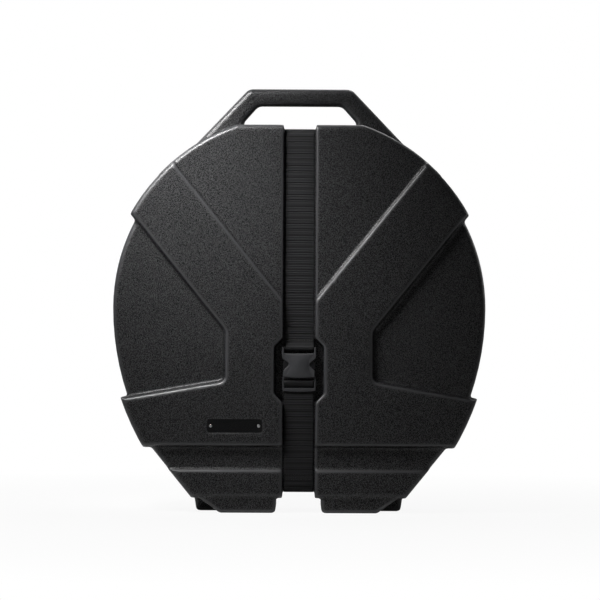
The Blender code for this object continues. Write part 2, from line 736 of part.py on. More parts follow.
def buckle_socket(parts, cutters):
    low_y = PLUG_Y - SOCKET_THICKNESS / 2
    socket = prism("buckle_socket", socket_profile(), "Y", low_y, low_y + SOCKET_THICKNESS, parts)
    apply_modifiers(bevel(socket, SOCKET_EDGE, 2))
    bar_y = STRAP_Y - WEBBING_SEAT - SOCKET_BAR_RADIUS
    round_bar = arc((bar_y, SOCKET_BAR_HEIGHT), SOCKET_BAR_RADIUS, 0, math.tau, SMALL_SEGMENTS)[:-1]
    reach = RAIL_INNER + OVERRUN
    bar = prism("socket bar", round_bar, "X", -reach, reach, cutters)
    boolean(socket, bar, "UNION")
    mouth = rectangle(-SOCKET_MOUTH_HALF, SOCKET_LOW - OVERRUN, SOCKET_MOUTH_HALF, SOCKET_MOUTH_TOP)
    half = SOCKET_MOUTH_THICKNESS / 2
    cut_later(socket, prism("socket mouth", mouth, "Y", PLUG_Y - half, PLUG_Y + half, cutters))
    material(socket, (0.085, 0.087, 0.095), 0.3)


def buckle_plug(parts, cutters):
    """The plug: a webbing frame of two rails, a bar and a foot, with the beam and guide above."""
    rail_low = PLUG_FOOT_LOW + PLUG_FOOT_DROP
    beam_top = SOCKET_LOW - PLUG_GAP
    beam_low = beam_top - PLUG_BEAM_HEIGHT
    half = PLUG_THICKNESS / 2
    rail_outer = RAIL_INNER + PLUG_RAIL_WIDTH
    frame_corners = [
        (0, PLUG_FOOT_LOW - PLUG_FOOT_DROP, 0),
        (rail_outer - PLUG_RAIL_WIDTH, rail_low - PLUG_FOOT_DROP, 0),
        (rail_outer, rail_low, 0),
        (rail_outer, beam_top, 0),
        (PLUG_GUIDE_HALF, beam_top, 0),
        (PLUG_GUIDE_HALF, beam_top + PLUG_GUIDE_LENGTH, PLUG_RAIL_WIDTH / 2),
    ]
    left = [(-x, z, radius) for x, z, radius in reversed(frame_corners[1:])]
    frame = rounded(frame_corners + left)
    plug = prism("buckle_plug", frame, "Y", PLUG_Y - half, PLUG_Y + half, parts)
    outline = rectangle(-RAIL_INNER, PLUG_FOOT_TOP, RAIL_INNER, beam_low)
    window = prism("frame window", outline, "Y", PLUG_Y - 2 * half, PLUG_Y + 2 * half, cutters)
    boolean(plug, window, "DIFFERENCE")
    outline = rectangle(-RAIL_INNER, PLUG_FOOT_LOW - FAR, RAIL_INNER, PLUG_FOOT_TOP + OVERRUN)
    relief_front = STRAP_OUTER_Y - WEBBING_PITCH - WEBBING_GAP
    relief = prism("tail relief", outline, "Y", relief_front, PLUG_Y + 2 * half, cutters)
    boolean(plug, relief, "DIFFERENCE")
    bar_radius = PLUG_BAR_THICKNESS / 2
    bar_corners = [
        (PLUG_Y - bar_radius, PLUG_BAR_LOW, bar_radius - MERGE),
        (PLUG_Y + bar_radius, PLUG_BAR_LOW, bar_radius - MERGE),
        (PLUG_Y + bar_radius, PLUG_BAR_TOP, bar_radius - MERGE),
        (PLUG_Y - bar_radius, PLUG_BAR_TOP, bar_radius - MERGE),
    ]
    reach = RAIL_INNER + OVERRUN
    boolean(plug, prism("webbing bar", rounded(bar_corners), "X", -reach, reach, cutters), "UNION")
    material(plug, (0.085, 0.087, 0.095), 0.3)


def buckle_arm(name, side, parts):
    """A release arm: its pad fills the socket's waist, and its hook rests on the socket's shoulder."""
    root = ARM_PIVOT_Z
    corners = [
        (ARM_PIVOT_X, root, 0),
        (ARM_ROOT_OUTER, root + ARM_ROOT_RISE, 0),
        (ARM_NECK_HALF, root + ARM_NECK_HEIGHT, 0),
        (ARM_HOOK_HALF, root + ARM_HOOK_HEIGHT, 0),
        (ARM_PAD_HALF, root + ARM_PAD_LOW, ARM_CORNER),
        (ARM_PAD_HALF, root + ARM_PAD_HIGH, ARM_CORNER * 3),
        (ARM_TIP_HALF, root + ARM_LENGTH, ARM_CORNER),
        (ARM_ROOT_INNER + ARM_CORNER, root + ARM_LENGTH, ARM_CORNER),
        (ARM_ROOT_INNER, root + ARM_ROOT_RISE, 0),
    ]
    points = [(side * (x - ARM_PIVOT_X), z - ARM_PIVOT_Z) for x, z in rounded(corners)]
    half = PLUG_THICKNESS / 2
    arm = prism(name, points, "Y", -half, half, parts)
    arm.location = (side * ARM_PIVOT_X, PLUG_Y, ARM_PIVOT_Z)
    material(arm, (0.085, 0.087, 0.095), 0.3)


def straps(parts):
    """The webbing loop in three pieces: two on the lid, which end in the buckle, and one at the rear."""
    top = CHANNEL_TOP + WEBBING_SEAT
    bottom = CHANNEL_BOTTOM - WEBBING_SEAT
    bend = CHANNEL_CORNER + WEBBING_SEAT
    lid_end = RIM_Y - RIM_GAP / 2
    rear_end = RIM_Y + RIM_GAP / 2
    bar_wrap = SOCKET_BAR_RADIUS + WEBBING_SEAT
    socket_front = STRAP_Y - 2 * bar_wrap
    tail_y = STRAP_Y - WEBBING_PITCH
    wrap_low = SOCKET_BAR_HEIGHT - bar_wrap
    fold_start = SOCKET_BAR_HEIGHT + SOCKET_BAR_RADIUS
    upper = [
        (lid_end, top, 0),
        (STRAP_Y, top, bend),
        (STRAP_Y, wrap_low, bar_wrap),
        (socket_front, wrap_low, bar_wrap),
        (socket_front, fold_start, FOLD_BEND / 2),
        (tail_y, fold_start + UPPER_FOLD_RISE, FOLD_BEND),
        (tail_y, SOCKET_BAR_HEIGHT + UPPER_FOLD_LENGTH, 0),
    ]
    webbing("strap_front_upper", upper, parts)
    plug_wrap = PLUG_BAR_THICKNESS / 2 + WEBBING_SEAT
    plug_front = STRAP_Y - 2 * plug_wrap
    over = PLUG_BAR_TOP + WEBBING_SEAT
    under = PLUG_BAR_LOW - WEBBING_SEAT
    lower = [
        (lid_end, bottom, 0),
        (STRAP_Y, bottom, bend),
        (STRAP_Y, over, plug_wrap),
        (plug_front, over, plug_wrap),
        (plug_front, under, plug_wrap),
        (tail_y, under, SLOT_BEND),
        (tail_y, LOWER_TAIL_HEIGHT, 0),
    ]
    webbing("strap_front_lower", lower, parts)
    rear = [(rear_end, top, 0), (-STRAP_Y, top, bend), (-STRAP_Y, bottom, bend), (rear_end, bottom, 0)]
    webbing("strap_rear", rear, parts)


def foam_pad(name, facing, parts, cutters):
    """A foam sheet on the inside of a shell's low face, cut clear of the channel's ridge."""
    offset = -WALL - PAD_EDGE_GAP
    points = case_outline(offset, LEVEL_TOP - CROWN_PROUD + offset, FOOT_HEIGHT + SOLE_PROUD - offset)
    seat = (LOW_FACE - WALL - PAD_GAP) * facing
    inner = seat - PAD_THICKNESS * facing
    low, high = sorted((inner, seat))
    pad = prism(name, points, "Y", low, high, parts)
    cut_later(pad, channel_cutter(WALL + PAD_SLOT_GAP, cutters))
    if facing == FRONT:
        bump = recess_outline(WALL + PAD_SLOT_GAP)
        floor = -RECESS_FACE + WALL + PAD_GAP
        cut_later(pad, prism(name + " pocket", bump, "Y", low - OVERRUN, floor, cutters))
    else:
        hole = arc((0, CENTRE_HEIGHT), PAD_HOLE_RADIUS, 0, math.tau, ROUND_SEGMENTS)[:-1]
        cut_later(pad, prism(name + " hole", hole, "Y", low - OVERRUN, high + OVERRUN, cutters))
    material(pad, (0.03, 0.03, 0.032), 0.95)


def flange_rivet_places():
    turns = [math.tau * (step + 1 / 2) / FLANGE_RIVETS for step in range(FLANGE_RIVETS)]
    circle = FLANGE_RIVET_CIRCLE
    return [(circle * math.cos(turn), CENTRE_HEIGHT + circle * math.sin(turn)) for turn in turns]


def flange_rivet(name, place, gap, collection):
    """A flange rivet from the flange's face to just inside the channel floor, or the hole for it."""
    radius = FLANGE_RIVET_RADIUS + gap
    end = CHANNEL_FACE - RIM_GAP + 2 * gap
    face = FLANGE_Y - FLANGE_THICKNESS
    if gap:
        profile = [(0, face - OVERRUN), (radius, face - OVERRUN), (radius, end), (0, end)]
        return turned(name, profile, place, collection, SMALL_SEGMENTS)
    seat = face - PAD_GAP
    profile = [
        (0, seat - FLANGE_RIVET_HEAD_HEIGHT),
        (FLANGE_RIVET_HEAD_RADIUS * DOME_RADIUS_SHARE, seat - FLANGE_RIVET_HEAD_HEIGHT * DOME_HEIGHT_SHARE),
        (FLANGE_RIVET_HEAD_RADIUS, seat),
        (radius, seat),
        (radius, end),
        (0, end),
    ]
    return turned(name, profile, place, collection, SMALL_SEGMENTS)


def ring_profile(bore, radius, low_y, high_y):
    return [(bore, low_y), (radius, low_y), (radius, high_y), (bore, high_y)]


def post_and_clamp(parts, cutters):
    """The post on its flange, and the felts, washer and nut that clamp the cymbals."""
    place = (0, CENTRE_HEIGHT)
    bore = POST_RADIUS + BORE_GAP
    face = FLANGE_Y - FLANGE_THICKNESS
    hub_top = face - FLANGE_HUB_HEIGHT
    profile = [
        (bore, hub_top),
        (FLANGE_HUB_RADIUS, hub_top),
        (FLANGE_HUB_RADIUS, face),
        (FLANGE_RADIUS, face),
        (FLANGE_RADIUS, FLANGE_Y),
        (bore, FLANGE_Y),
    ]
    flange = turned("post_flange", profile, place, parts)
    holes = [flange_rivet("rivet hole", spot, RIM_GAP, cutters) for spot in flange_rivet_places()]
    cut_later(flange, join_all("flange rivet holes", holes))
    material(flange, (0.6, 0.6, 0.61), 0.35, 1.0)
    for number, spot in enumerate(flange_rivet_places(), start=1):
        fastener = flange_rivet(f"flange_rivet_{number}", spot, 0, parts)
        material(fastener, (0.6, 0.6, 0.61), 0.35, 1.0)
    tip = POST_TIP_Y
    post_profile = [
        (0, tip),
        (POST_RADIUS - POST_TIP_CHAMFER, tip),
        (POST_RADIUS, tip + POST_TIP_CHAMFER),
        (POST_RADIUS, FLANGE_Y),
        (0, FLANGE_Y),
    ]
    material(turned("retaining_post", post_profile, place, parts), (0.6, 0.6, 0.61), 0.3, 1.0)
    lower_seat = hub_top - PAD_GAP
    lower_felt = ring_profile(bore, FELT_RADIUS, lower_seat - LOWER_FELT_THICKNESS, lower_seat)
    material(turned("lower_felt", lower_felt, place, parts), (0.05, 0.05, 0.05), 1.0)
    upper_seat = lower_seat - LOWER_FELT_THICKNESS - PAD_GAP
    upper_felt = ring_profile(bore, FELT_RADIUS, upper_seat - UPPER_FELT_THICKNESS, upper_seat)
    material(turned("upper_felt", upper_felt, place, parts), (0.05, 0.05, 0.05), 1.0)
    washer_seat = upper_seat - UPPER_FELT_THICKNESS - PAD_GAP
    washer = ring_profile(bore, WASHER_RADIUS, washer_seat - WASHER_THICKNESS, washer_seat)
    material(turned("clamp_washer", washer, place, parts), (0.6, 0.6, 0.61), 0.3, 1.0)
    wing_nut(washer_seat - WASHER_THICKNESS - PAD_GAP, parts, cutters)


def wing_nut(seat, parts, cutters):
    place = (0, CENTRE_HEIGHT)
    top = seat - NUT_HEIGHT
    profile = [(0, top), (NUT_TOP_RADIUS, top), (NUT_FOOT_RADIUS, seat), (0, seat)]
    hub = turned("wing_nut", profile, place, parts)
    wing = rounded(
        [
            (WING_ROOT_HALF, seat - WING_THICKNESS / 2, 0),
            (WING_SPAN, seat - WING_RISE + WING_WIDTH, WING_CORNER),
            (WING_SPAN, seat - WING_RISE, WING_CORNER),
            (WING_SPAN - WING_WIDTH, seat - WING_RISE, WING_CORNER),
            (WING_ROOT_HALF, top + WING_THICKNESS / 2, 0),
        ]
    )
    low = CENTRE_HEIGHT - WING_THICKNESS / 2
    for side in (-1, 1):
        points = [(side * x, y) for x, y in wing]
        solid = prism("wing", points, "Z", low, low + WING_THICKNESS, cutters)
        boolean(hub, apply_modifiers(bevel(solid, WING_THICKNESS / 4, 1)), "UNION")
    bore = POST_RADIUS + BORE_GAP
    profile = [(0, top - FAR), (bore, top - FAR), (bore, seat + FAR), (0, seat + FAR)]
    cut_later(hub, turned("nut bore", profile, place, cutters))
    material(hub, (0.6, 0.6, 0.61), 0.3, 1.0)


def main():
    for old in list(bpy.data.objects):
        bpy.data.objects.remove(old)
    parts = new_collection("cymbal_case")
    cutters = new_collection("cutters")
    rear_shell(parts, cutters)
    front_shell(parts, cutters)
    badge(parts, cutters)
    buckle_socket(parts, cutters)
    buckle_plug(parts, cutters)
    buckle_arm("buckle_arm_left", -1, parts)
    buckle_arm("buckle_arm_right", 1, parts)
    straps(parts)
    foam_pad("base_foam_pad", BACK, parts, cutters)
    foam_pad("lid_foam_pad", FRONT, parts, cutters)
    post_and_clamp(parts, cutters)


main()
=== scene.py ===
"""Cymbal case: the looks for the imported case, as a panel of modelling steps in the 3D view's sidebar.

Units are metres. X runs from left to right, Y from front to back and Z up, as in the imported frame.
"""

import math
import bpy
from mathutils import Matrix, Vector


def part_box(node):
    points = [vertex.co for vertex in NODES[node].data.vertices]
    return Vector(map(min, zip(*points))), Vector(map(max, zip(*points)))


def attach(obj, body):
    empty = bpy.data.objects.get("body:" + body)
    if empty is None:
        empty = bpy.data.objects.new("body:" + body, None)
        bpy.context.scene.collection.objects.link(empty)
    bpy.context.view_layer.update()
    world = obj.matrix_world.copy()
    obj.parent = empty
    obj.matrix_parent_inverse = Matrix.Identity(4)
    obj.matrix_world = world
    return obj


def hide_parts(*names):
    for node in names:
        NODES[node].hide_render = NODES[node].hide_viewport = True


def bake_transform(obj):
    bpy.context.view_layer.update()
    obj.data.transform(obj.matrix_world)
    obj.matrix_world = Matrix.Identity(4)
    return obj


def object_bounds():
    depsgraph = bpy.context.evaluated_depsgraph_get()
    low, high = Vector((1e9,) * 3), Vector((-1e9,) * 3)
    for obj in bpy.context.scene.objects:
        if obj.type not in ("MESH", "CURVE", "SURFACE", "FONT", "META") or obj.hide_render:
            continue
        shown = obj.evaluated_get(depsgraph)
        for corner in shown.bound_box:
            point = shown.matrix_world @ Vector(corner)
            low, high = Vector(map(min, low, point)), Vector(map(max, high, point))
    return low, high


bl_info = {
    "name": "Cymbal Case Finish",
    "version": (1, 0, 0),
    "blender": (4, 5, 0),
    "location": "3D View > Sidebar > Cymbal Case",
    "description": "Webbing, buckle, padding, surface finishes and studio for a moulded cymbal case",
    "category": "Object",
}

import bmesh
import bpy
from bpy.props import FloatProperty, FloatVectorProperty, PointerProperty
from mathutils import Matrix, Vector

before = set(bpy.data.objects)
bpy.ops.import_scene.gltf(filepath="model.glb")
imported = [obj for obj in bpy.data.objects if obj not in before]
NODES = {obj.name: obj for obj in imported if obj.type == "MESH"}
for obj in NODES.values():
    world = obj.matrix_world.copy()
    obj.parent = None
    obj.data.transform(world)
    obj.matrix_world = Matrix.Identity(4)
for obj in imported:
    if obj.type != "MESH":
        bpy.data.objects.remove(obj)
CAD_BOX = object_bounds()

# The strap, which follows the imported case
UPPER_LOW, UPPER_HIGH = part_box("strap_front_upper")
REAR_LOW, REAR_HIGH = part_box("strap_rear")
STRAP_WIDTH = UPPER_HIGH.x - UPPER_LOW.x
STRAP_THICKNESS = 0.0015
STRAP_REAR = REAR_HIGH.y - STRAP_THICKNESS / 2
STRAP_FRONT = -STRAP_REAR
STRAP_TOP = REAR_HIGH.z - STRAP_THICKNESS / 2
STRAP_BOTTOM = REAR_LOW.z + STRAP_THICKNESS / 2

# Bend of the strap's middle at the rims, and the distance between two of its layers
STRAP_BEND = 0.01305
STRAP_LAYER = 0.0018

# Depth at which the loop is split between lid and base, and the heights at which its fold and its tail end
LOOP_SPLIT = -0.052
FOLD_END = 0.2966
TAIL_END = 0.0473

# Heights of the seams across the webbing, and the share of its width that they cover
FOLD_SEAMS = [0.2945]
TAIL_SEAMS = [0.0575, 0.0615, 0.0655]
SEAM_SHARE = 0.86

# A stitch's length, depth and height as shares of the distance between stitches
STITCH_SHAPE = (0.62, 0.22, 0.26)

# The buckle's two bars, and how far the webbing's middle lies from their surface
SOCKET_BAR_RADIUS = 0.0016
SOCKET_BAR_HEIGHT = 0.2810
PLUG_BAR_LOW = 0.2180
PLUG_BAR_TOP = 0.2260
PLUG_BAR_THICKNESS = 0.0040
SEAT = 0.00105

# Height over which the folded end slants back to the run behind it, and the bends at that slant's ends
FOLD_SLANT = 0.008
FOLD_BENDS = (0.0015, 0.003)
TAIL_BEND = 0.00125

# The buckle socket's face: its place, its half width at the waist and what its ends add, the share of its
# crown that is lost at its ends, the dip of its lower edge, and its wall and edge
SOCKET_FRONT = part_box("buckle_socket")[0].y
FACE_LIFT = 0.0004
FACE_MIDDLE = 0.2521
FACE_HALF_HEIGHT = 0.0194
FACE_WAIST = 0.0158
FACE_FLARE = 0.0072
FACE_FLARE_POWER = 1.7
FACE_END_LOSS = 0.75
FACE_DIP = 0.0017
FACE_WALL = 0.0014
FACE_EDGE = 0.0004

# Distance under which a CAD mesh's points are merged, and angle under which its flat faces are joined
MERGE = 0.00001
FLAT = math.radians(1)

# Share of a rounding's width under which an edge is closed before it is rounded
SHORT_EDGE = 0.6

# How far faces have to spread apart for a full edge mark, the part of a mark that is dropped, and its gain
EDGE_FULL = 0.015
EDGE_FLOOR = 0.12
EDGE_GAIN = 2.5

# Share of the triangles that a moulding keeps
KEPT_TRIANGLES = 0.28

# Lowest and highest roughness of each plastic
SHELL_ROUGHNESS = (0.32, 0.52)
PLATE_ROUGHNESS = (0.15, 0.2)
BUCKLE_ROUGHNESS = (0.34, 0.38)
ARM_ROUGHNESS = (0.28, 0.32)

# Painted shade: the share by which the release arms are painted darker than the rest of the buckle, as a
# shaded copy of its plastic
ARM_PAINTED_SHADE = 0.25

# Colours and edge of the pieces that have no settings of their own
PLATE_COLOUR = (0.004, 0.004, 0.0044)
RIVET_COLOUR = (0.75, 0.75, 0.76)
STEEL_COLOUR = (0.6, 0.6, 0.61)
FELT_COLOUR = (0.05, 0.05, 0.05)
THREAD_COLOUR = (0.01, 0.01, 0.011)
BADGE_EDGE = 0.0002

# How far the camera stands to the right of the case's middle
CAMERA_SIDE = 0.0016

# Share of white that the floor shows by the case, and the distances over which it turns fully white
FLOOR_SHARE = 0.92
FLOOR_NEAR = 0.3
FLOOR_FAR = 1.6

# Strength of the light that comes from all round
ROOM_LIGHT = 0.015

# Name of the attribute that holds how near a place is to an outer edge
EDGE_MARK = "outer_edge"

# Turns the grain's pattern, because noise looks finer on a face that lies in a plane of its grid
GRAIN_TURN = (0.6, 0.4, 0.9)

# Gloss of the shells' outermost layer, whose strength changes from grain to grain
COAT_ROUGHNESS = 0.4
COAT_IOR = 1.6

# Share of the white background that shows in gloss and glass, where all of it would turn black plastic grey
MIRRORED_SHARE = 0.03

# Each lamp's name, place, aim, width and height, spread in degrees and power in watts
LAMPS = (
    ("key_lamp", (-0.7, -0.5, 0.95), (-0.2, -0.1, 0.5), (0.3, 0.3), 180, 3.4),
    ("upper_lamp", (-0.45, -0.45, 1.1), (-0.15, -0.1, 0.5), (0.25, 0.25), 180, 2.0),
    ("spot_lamp", (-0.45, -0.6, 1.1), (-0.2, -0.1, 0.58), (0.3, 0.3), 45, 1.55),
    ("rim_lamp", (-1.1, 0.8, 1.5), (-0.1, -0.1, 0.4), (0.8, 0.5), 180, 5),
    ("back_lamp", (0.5, 0.9, 1.9), (0, 0, 0.5), (1.0, 0.5), 180, 8),
    ("right_lamp", (1.2, 0.35, 0.7), (0.2, 0.0, 0.4), (0.3, 0.8), 180, 2),
)


def deselect():
    if bpy.context.object and bpy.context.object.mode != "OBJECT":
        bpy.ops.object.mode_set(mode="OBJECT")
    bpy.ops.object.select_all(action="DESELECT")


def choose(piece):
    """Makes this the only selected object."""
    deselect()
    piece.select_set(True)
    bpy.context.view_layer.objects.active = piece


def added(name):
    """Names the object that the last operator added."""
    piece = bpy.context.object
    piece.name = name
    piece.data.name = name
    return piece


def settle(piece):
    """Applies the object's place, turn and scale, and then its modifiers."""
    choose(piece)
    bpy.ops.object.transform_apply(location=True, rotation=True, scale=True)
    for modifier in list(piece.modifiers):
        bpy.ops.object.modifier_apply(modifier=modifier.name)


def apply_new(piece, kind, **values):
    """Adds one modifier and applies it at once, so that no other is worked out again."""
    choose(piece)
    modifier = piece.modifiers.new(kind.lower(), kind)
    for name, value in values.items():
        setattr(modifier, name, value)
    bpy.ops.object.modifier_apply(modifier=modifier.name)


def smooth(piece, degrees):
    choose(piece)
    bpy.ops.object.shade_smooth_by_angle(angle=math.radians(degrees))


def dress(piece, finish):
    piece.data.materials.clear()
    piece.data.materials.append(finish)


# Shader effects, each a node group that several finishes share


def new_group(name, inputs, outputs):
    group = bpy.data.node_groups.new(name, "ShaderNodeTree")
    for label, kind, value in inputs:
        socket = group.interface.new_socket(label, in_out="INPUT", socket_type=kind)
        if value is not None:
            socket.default_value = value
    for label, kind in outputs:
        group.interface.new_socket(label, in_out="OUTPUT", socket_type=kind)
    return group, group.nodes.new("NodeGroupInput"), group.nodes.new("NodeGroupOutput")


def math_node(tree, operation, first, second=0.0):
    """A Math node. Each input is a socket or a number."""
    node = tree.nodes.new("ShaderNodeMath")
    node.operation = operation
    for socket, value in zip(node.inputs, (first, second)):
        if isinstance(value, (int, float)):
            socket.default_value = value
        else:
            tree.links.new(value, socket)
    return node.outputs["Value"]


def spread(tree, factor, low=0.0, high=1.0, start=0.0, end=1.0):
    """The factor, which runs from start to end, mapped to the range from low to high."""
    node = tree.nodes.new("ShaderNodeMapRange")
    for label, value in (("From Min", start), ("From Max", end), ("To Min", low), ("To Max", high)):
        node.inputs[label].default_value = value
    tree.links.new(factor, node.inputs["Value"])
    return node.outputs["Result"]


def noise(tree, vector, scale, detail):
    """A Noise node's factor. Its scale is a socket or a number."""
    node = tree.nodes.new("ShaderNodeTexNoise")
    tree.links.new(vector, node.inputs["Vector"])
    if isinstance(scale, (int, float)):
        node.inputs["Scale"].default_value = scale
    else:
        tree.links.new(scale, node.inputs["Scale"])
    node.inputs["Detail"].default_value = detail
    return node.outputs["Fac"]


def grain_group():
    """Moulded grain: rounded pebbles with fine pits between them, speckles and a slow change of tone."""
    pit_share, mottle_share, slow_scale = 0.6, 1.6, 9.0
    group, given, made = new_group(
        "moulded grain",
        [
            ("Vector", "NodeSocketVector", None),
            ("Pebble Scale", "NodeSocketFloat", 380.0),
            ("Pit Scale", "NodeSocketFloat", 900.0),
            ("Mottle Scale", "NodeSocketFloat", 200.0),
        ],
        [
            ("Height", "NodeSocketFloat"),
            ("Pebble", "NodeSocketFloat"),
            ("Speckle", "NodeSocketFloat"),
            ("Tone", "NodeSocketFloat"),
        ],
    )
    turned = group.nodes.new("ShaderNodeMapping")
    turned.inputs["Rotation"].default_value = GRAIN_TURN
    group.links.new(given.outputs["Vector"], turned.inputs["Vector"])
    place = turned.outputs["Vector"]
    cells = group.nodes.new("ShaderNodeTexVoronoi")
    cells.feature = "SMOOTH_F1"
    cells.inputs["Smoothness"].default_value = 0.6
    group.links.new(place, cells.inputs["Vector"])
    group.links.new(given.outputs["Pebble Scale"], cells.inputs["Scale"])
    pebble = math_node(group, "SUBTRACT", 1.0, cells.outputs["Distance"])
    pits = noise(group, place, given.outputs["Pit Scale"], detail=2.0)
    mottle = noise(group, place, given.outputs["Mottle Scale"], detail=2.0)
    fine = math_node(group, "ADD", pebble, math_node(group, "MULTIPLY", pits, pit_share))
    height = math_node(group, "ADD", fine, math_node(group, "MULTIPLY", mottle, mottle_share))
    group.links.new(height, made.inputs["Height"])
    group.links.new(pebble, made.inputs["Pebble"])
    group.links.new(spread(group, mottle, start=0.43, end=0.57), made.inputs["Speckle"])
    group.links.new(noise(group, place, slow_scale, detail=3.0), made.inputs["Tone"])
    return group


def weave_group():
    """Ribbed webbing on its own UV map: ribs and bands across, yarns along, and small uneven places."""
    rib_share, yarn_share, uneven_share, uneven_scale = 0.6, 0.25, 0.3, 700.0
    group, given, made = new_group(
        "webbing weave",
        [
            ("Vector", "NodeSocketVector", None),
            ("Rib Scale", "NodeSocketFloat", 244.0),
            ("Yarn Scale", "NodeSocketFloat", 900.0),
            ("Band Scale", "NodeSocketFloat", 101.0),
        ],
        [("Height", "NodeSocketFloat"), ("Rib", "NodeSocketFloat"), ("Band", "NodeSocketFloat")],
    )
    apart = group.nodes.new("ShaderNodeSeparateXYZ")
    group.links.new(given.outputs["Vector"], apart.inputs["Vector"])

    def wave(along, scale):
        turn = math_node(group, "MULTIPLY", math_node(group, "MULTIPLY", along, scale), math.pi)
        return math_node(group, "ABSOLUTE", math_node(group, "SINE", turn))

    rib = wave(apart.outputs["Y"], given.outputs["Rib Scale"])
    yarn = wave(apart.outputs["X"], given.outputs["Yarn Scale"])
    band = wave(apart.outputs["Y"], given.outputs["Band Scale"])
    uneven = noise(group, given.outputs["Vector"], uneven_scale, detail=2.0)
    ribs = math_node(group, "MULTIPLY", rib, rib_share)
    cords = math_node(group, "ADD", ribs, math_node(group, "MULTIPLY", yarn, yarn_share))
    height = math_node(group, "ADD", cords, math_node(group, "MULTIPLY", uneven, uneven_share))
    group.links.new(height, made.inputs["Height"])
    group.links.new(rib, made.inputs["Rib"])
    group.links.new(band, made.inputs["Band"])
    return group


def fibre_group():
    """Foam pores or felt fibres: two sizes of noise."""
    coarse_share, coarse_scale = 0.5, 60.0
    group, given, made = new_group(
        "pores and fibres",
        [("Vector", "NodeSocketVector", None), ("Scale", "NodeSocketFloat", 600.0)],
        [("Height", "NodeSocketFloat"), ("Tone", "NodeSocketFloat")],
    )
    fine = noise(group, given.outputs["Vector"], given.outputs["Scale"], detail=4.0)
    coarse = noise(group, given.outputs["Vector"], coarse_scale, detail=2.0)
    height = math_node(group, "ADD", fine, math_node(group, "MULTIPLY", coarse, coarse_share))
    group.links.new(height, made.inputs["Height"])
    group.links.new(fine, made.inputs["Tone"])
    return group


def new_finish(name):
    """A material with its Principled shader, and the shader's tree."""
    finish = bpy.data.materials.new(name)
    finish.use_nodes = True
    return finish, finish.node_tree, finish.node_tree.nodes["Principled BSDF"]


def placed_group(tree, group, source, values):
    """The shared effect placed in a material, on Object coordinates or the piece's UV map."""
    node = tree.nodes.new("ShaderNodeGroup")
    node.node_tree = group
    places = tree.nodes.new("ShaderNodeTexCoord")
    tree.links.new(places.outputs[source], node.inputs["Vector"])
    for label, value in values.items():
        node.inputs[label].default_value = value
    return node


def two_tone(tree, factor, low, high):
    """A colour between low and high by the factor. Each of the two is a colour or a socket."""
    mix = tree.nodes.new("ShaderNodeMix")
    mix.data_type = "RGBA"
    tree.links.new(factor, mix.inputs["Factor"])
    for label, tone in (("A", low), ("B", high)):
        if isinstance(tone, tuple):
            mix.inputs[label].default_value = (*tone, 1)
        else:
            tree.links.new(tone, mix.inputs[label])
    return mix.outputs["Result"]


def bump(tree, height, strength, distance):
    node = tree.nodes.new("ShaderNodeBump")
    node.inputs["Strength"].default_value = strength
    node.inputs["Distance"].default_value = distance
    tree.links.new(height, node.inputs["Height"])
    return node.outputs["Normal"]


def background_mask(tree):
    """Where the white background shows: fully to the camera, and faintly in gloss and glass."""
    path = tree.nodes.new("ShaderNodeLightPath")
    mirrored = math_node(tree, "MAXIMUM", path.outputs["Is Glossy Ray"], path.outputs["Is Transmission Ray"])
    faint = math_node(tree, "MULTIPLY", mirrored, MIRRORED_SHARE)
    return math_node(tree, "MAXIMUM", path.outputs["Is Camera Ray"], faint)


def edge_share(tree):
    """The piece's own record of how near each place is to an outer edge, from 0 to 1."""
    mark = tree.nodes.new("ShaderNodeAttribute")
    mark.attribute_name = EDGE_MARK
    return mark.outputs["Fac"]


def shade(colour, share):
    """The colour made darker or lighter by a share."""
    return tuple(channel * share for channel in colour)


def moulded_finish(name, group, colour, roughness, pebble_size, depth, polish):
    """Grained plastic with a speckled tone and gloss. Its outer edges are smoother and glossier, and a
    painted highlight makes them lighter.
    """
    darkest, lightest, painted_edge_highlight = shade(colour, 0.05), shade(colour, 2.5), shade(colour, 4.0)
    tone_swing, edge_height, faint_glint, edge_glint = 0.15, 0.05, 0.02, 0.95
    smoothest, roughest = roughness
    finish, tree, shader = new_finish(name)
    scales = {"Pebble Scale": 1, "Pit Scale": 2.4, "Mottle Scale": 1.6}
    scales = {label: share / pebble_size for label, share in scales.items()}
    grain = placed_group(tree, group, "Object", scales)
    speckle = grain.outputs["Speckle"]
    edge = edge_share(tree)
    tone = math_node(tree, "ADD", speckle, spread(tree, grain.outputs["Tone"], -tone_swing, tone_swing))
    # Painted highlight: near outer edges the colour turns to a tone four times the shell's colour
    surface = two_tone(tree, edge, two_tone(tree, tone, darkest, lightest), painted_edge_highlight)
    gloss = spread(tree, speckle, roughest, smoothest)
    gloss = math_node(tree, "MULTIPLY", gloss, spread(tree, edge, 1.0, polish))
    height = math_node(tree, "MULTIPLY", grain.outputs["Height"], spread(tree, edge, 1.0, edge_height))
    glint = spread(tree, speckle, faint_glint, 1.0)
    glint = math_node(tree, "MAXIMUM", glint, math_node(tree, "MULTIPLY", edge, edge_glint))
    tree.links.new(surface, shader.inputs["Base Color"])
    tree.links.new(gloss, shader.inputs["Roughness"])
    tree.links.new(bump(tree, height, strength=0.9, distance=depth), shader.inputs["Normal"])
    tree.links.new(glint, shader.inputs["Coat Weight"])
    shader.inputs["Coat Roughness"].default_value = COAT_ROUGHNESS
    shader.inputs["Coat IOR"].default_value = COAT_IOR
    shader.inputs["Specular IOR Level"].default_value = 0.12
    return finish


def smooth_finish(name, colour, roughness):
    """Plain glossy plastic with a slight cloud in its tone and gloss."""
    finish, tree, shader = new_finish(name)
    place = tree.nodes.new("ShaderNodeTexCoord").outputs["Object"]
    cloud = noise(tree, place, scale=160.0, detail=2.0)
    tone = two_tone(tree, cloud, shade(colour, 0.85), shade(colour, 1.15))
    tree.links.new(tone, shader.inputs["Base Color"])
    tree.links.new(spread(tree, cloud, *roughness), shader.inputs["Roughness"])
    return finish


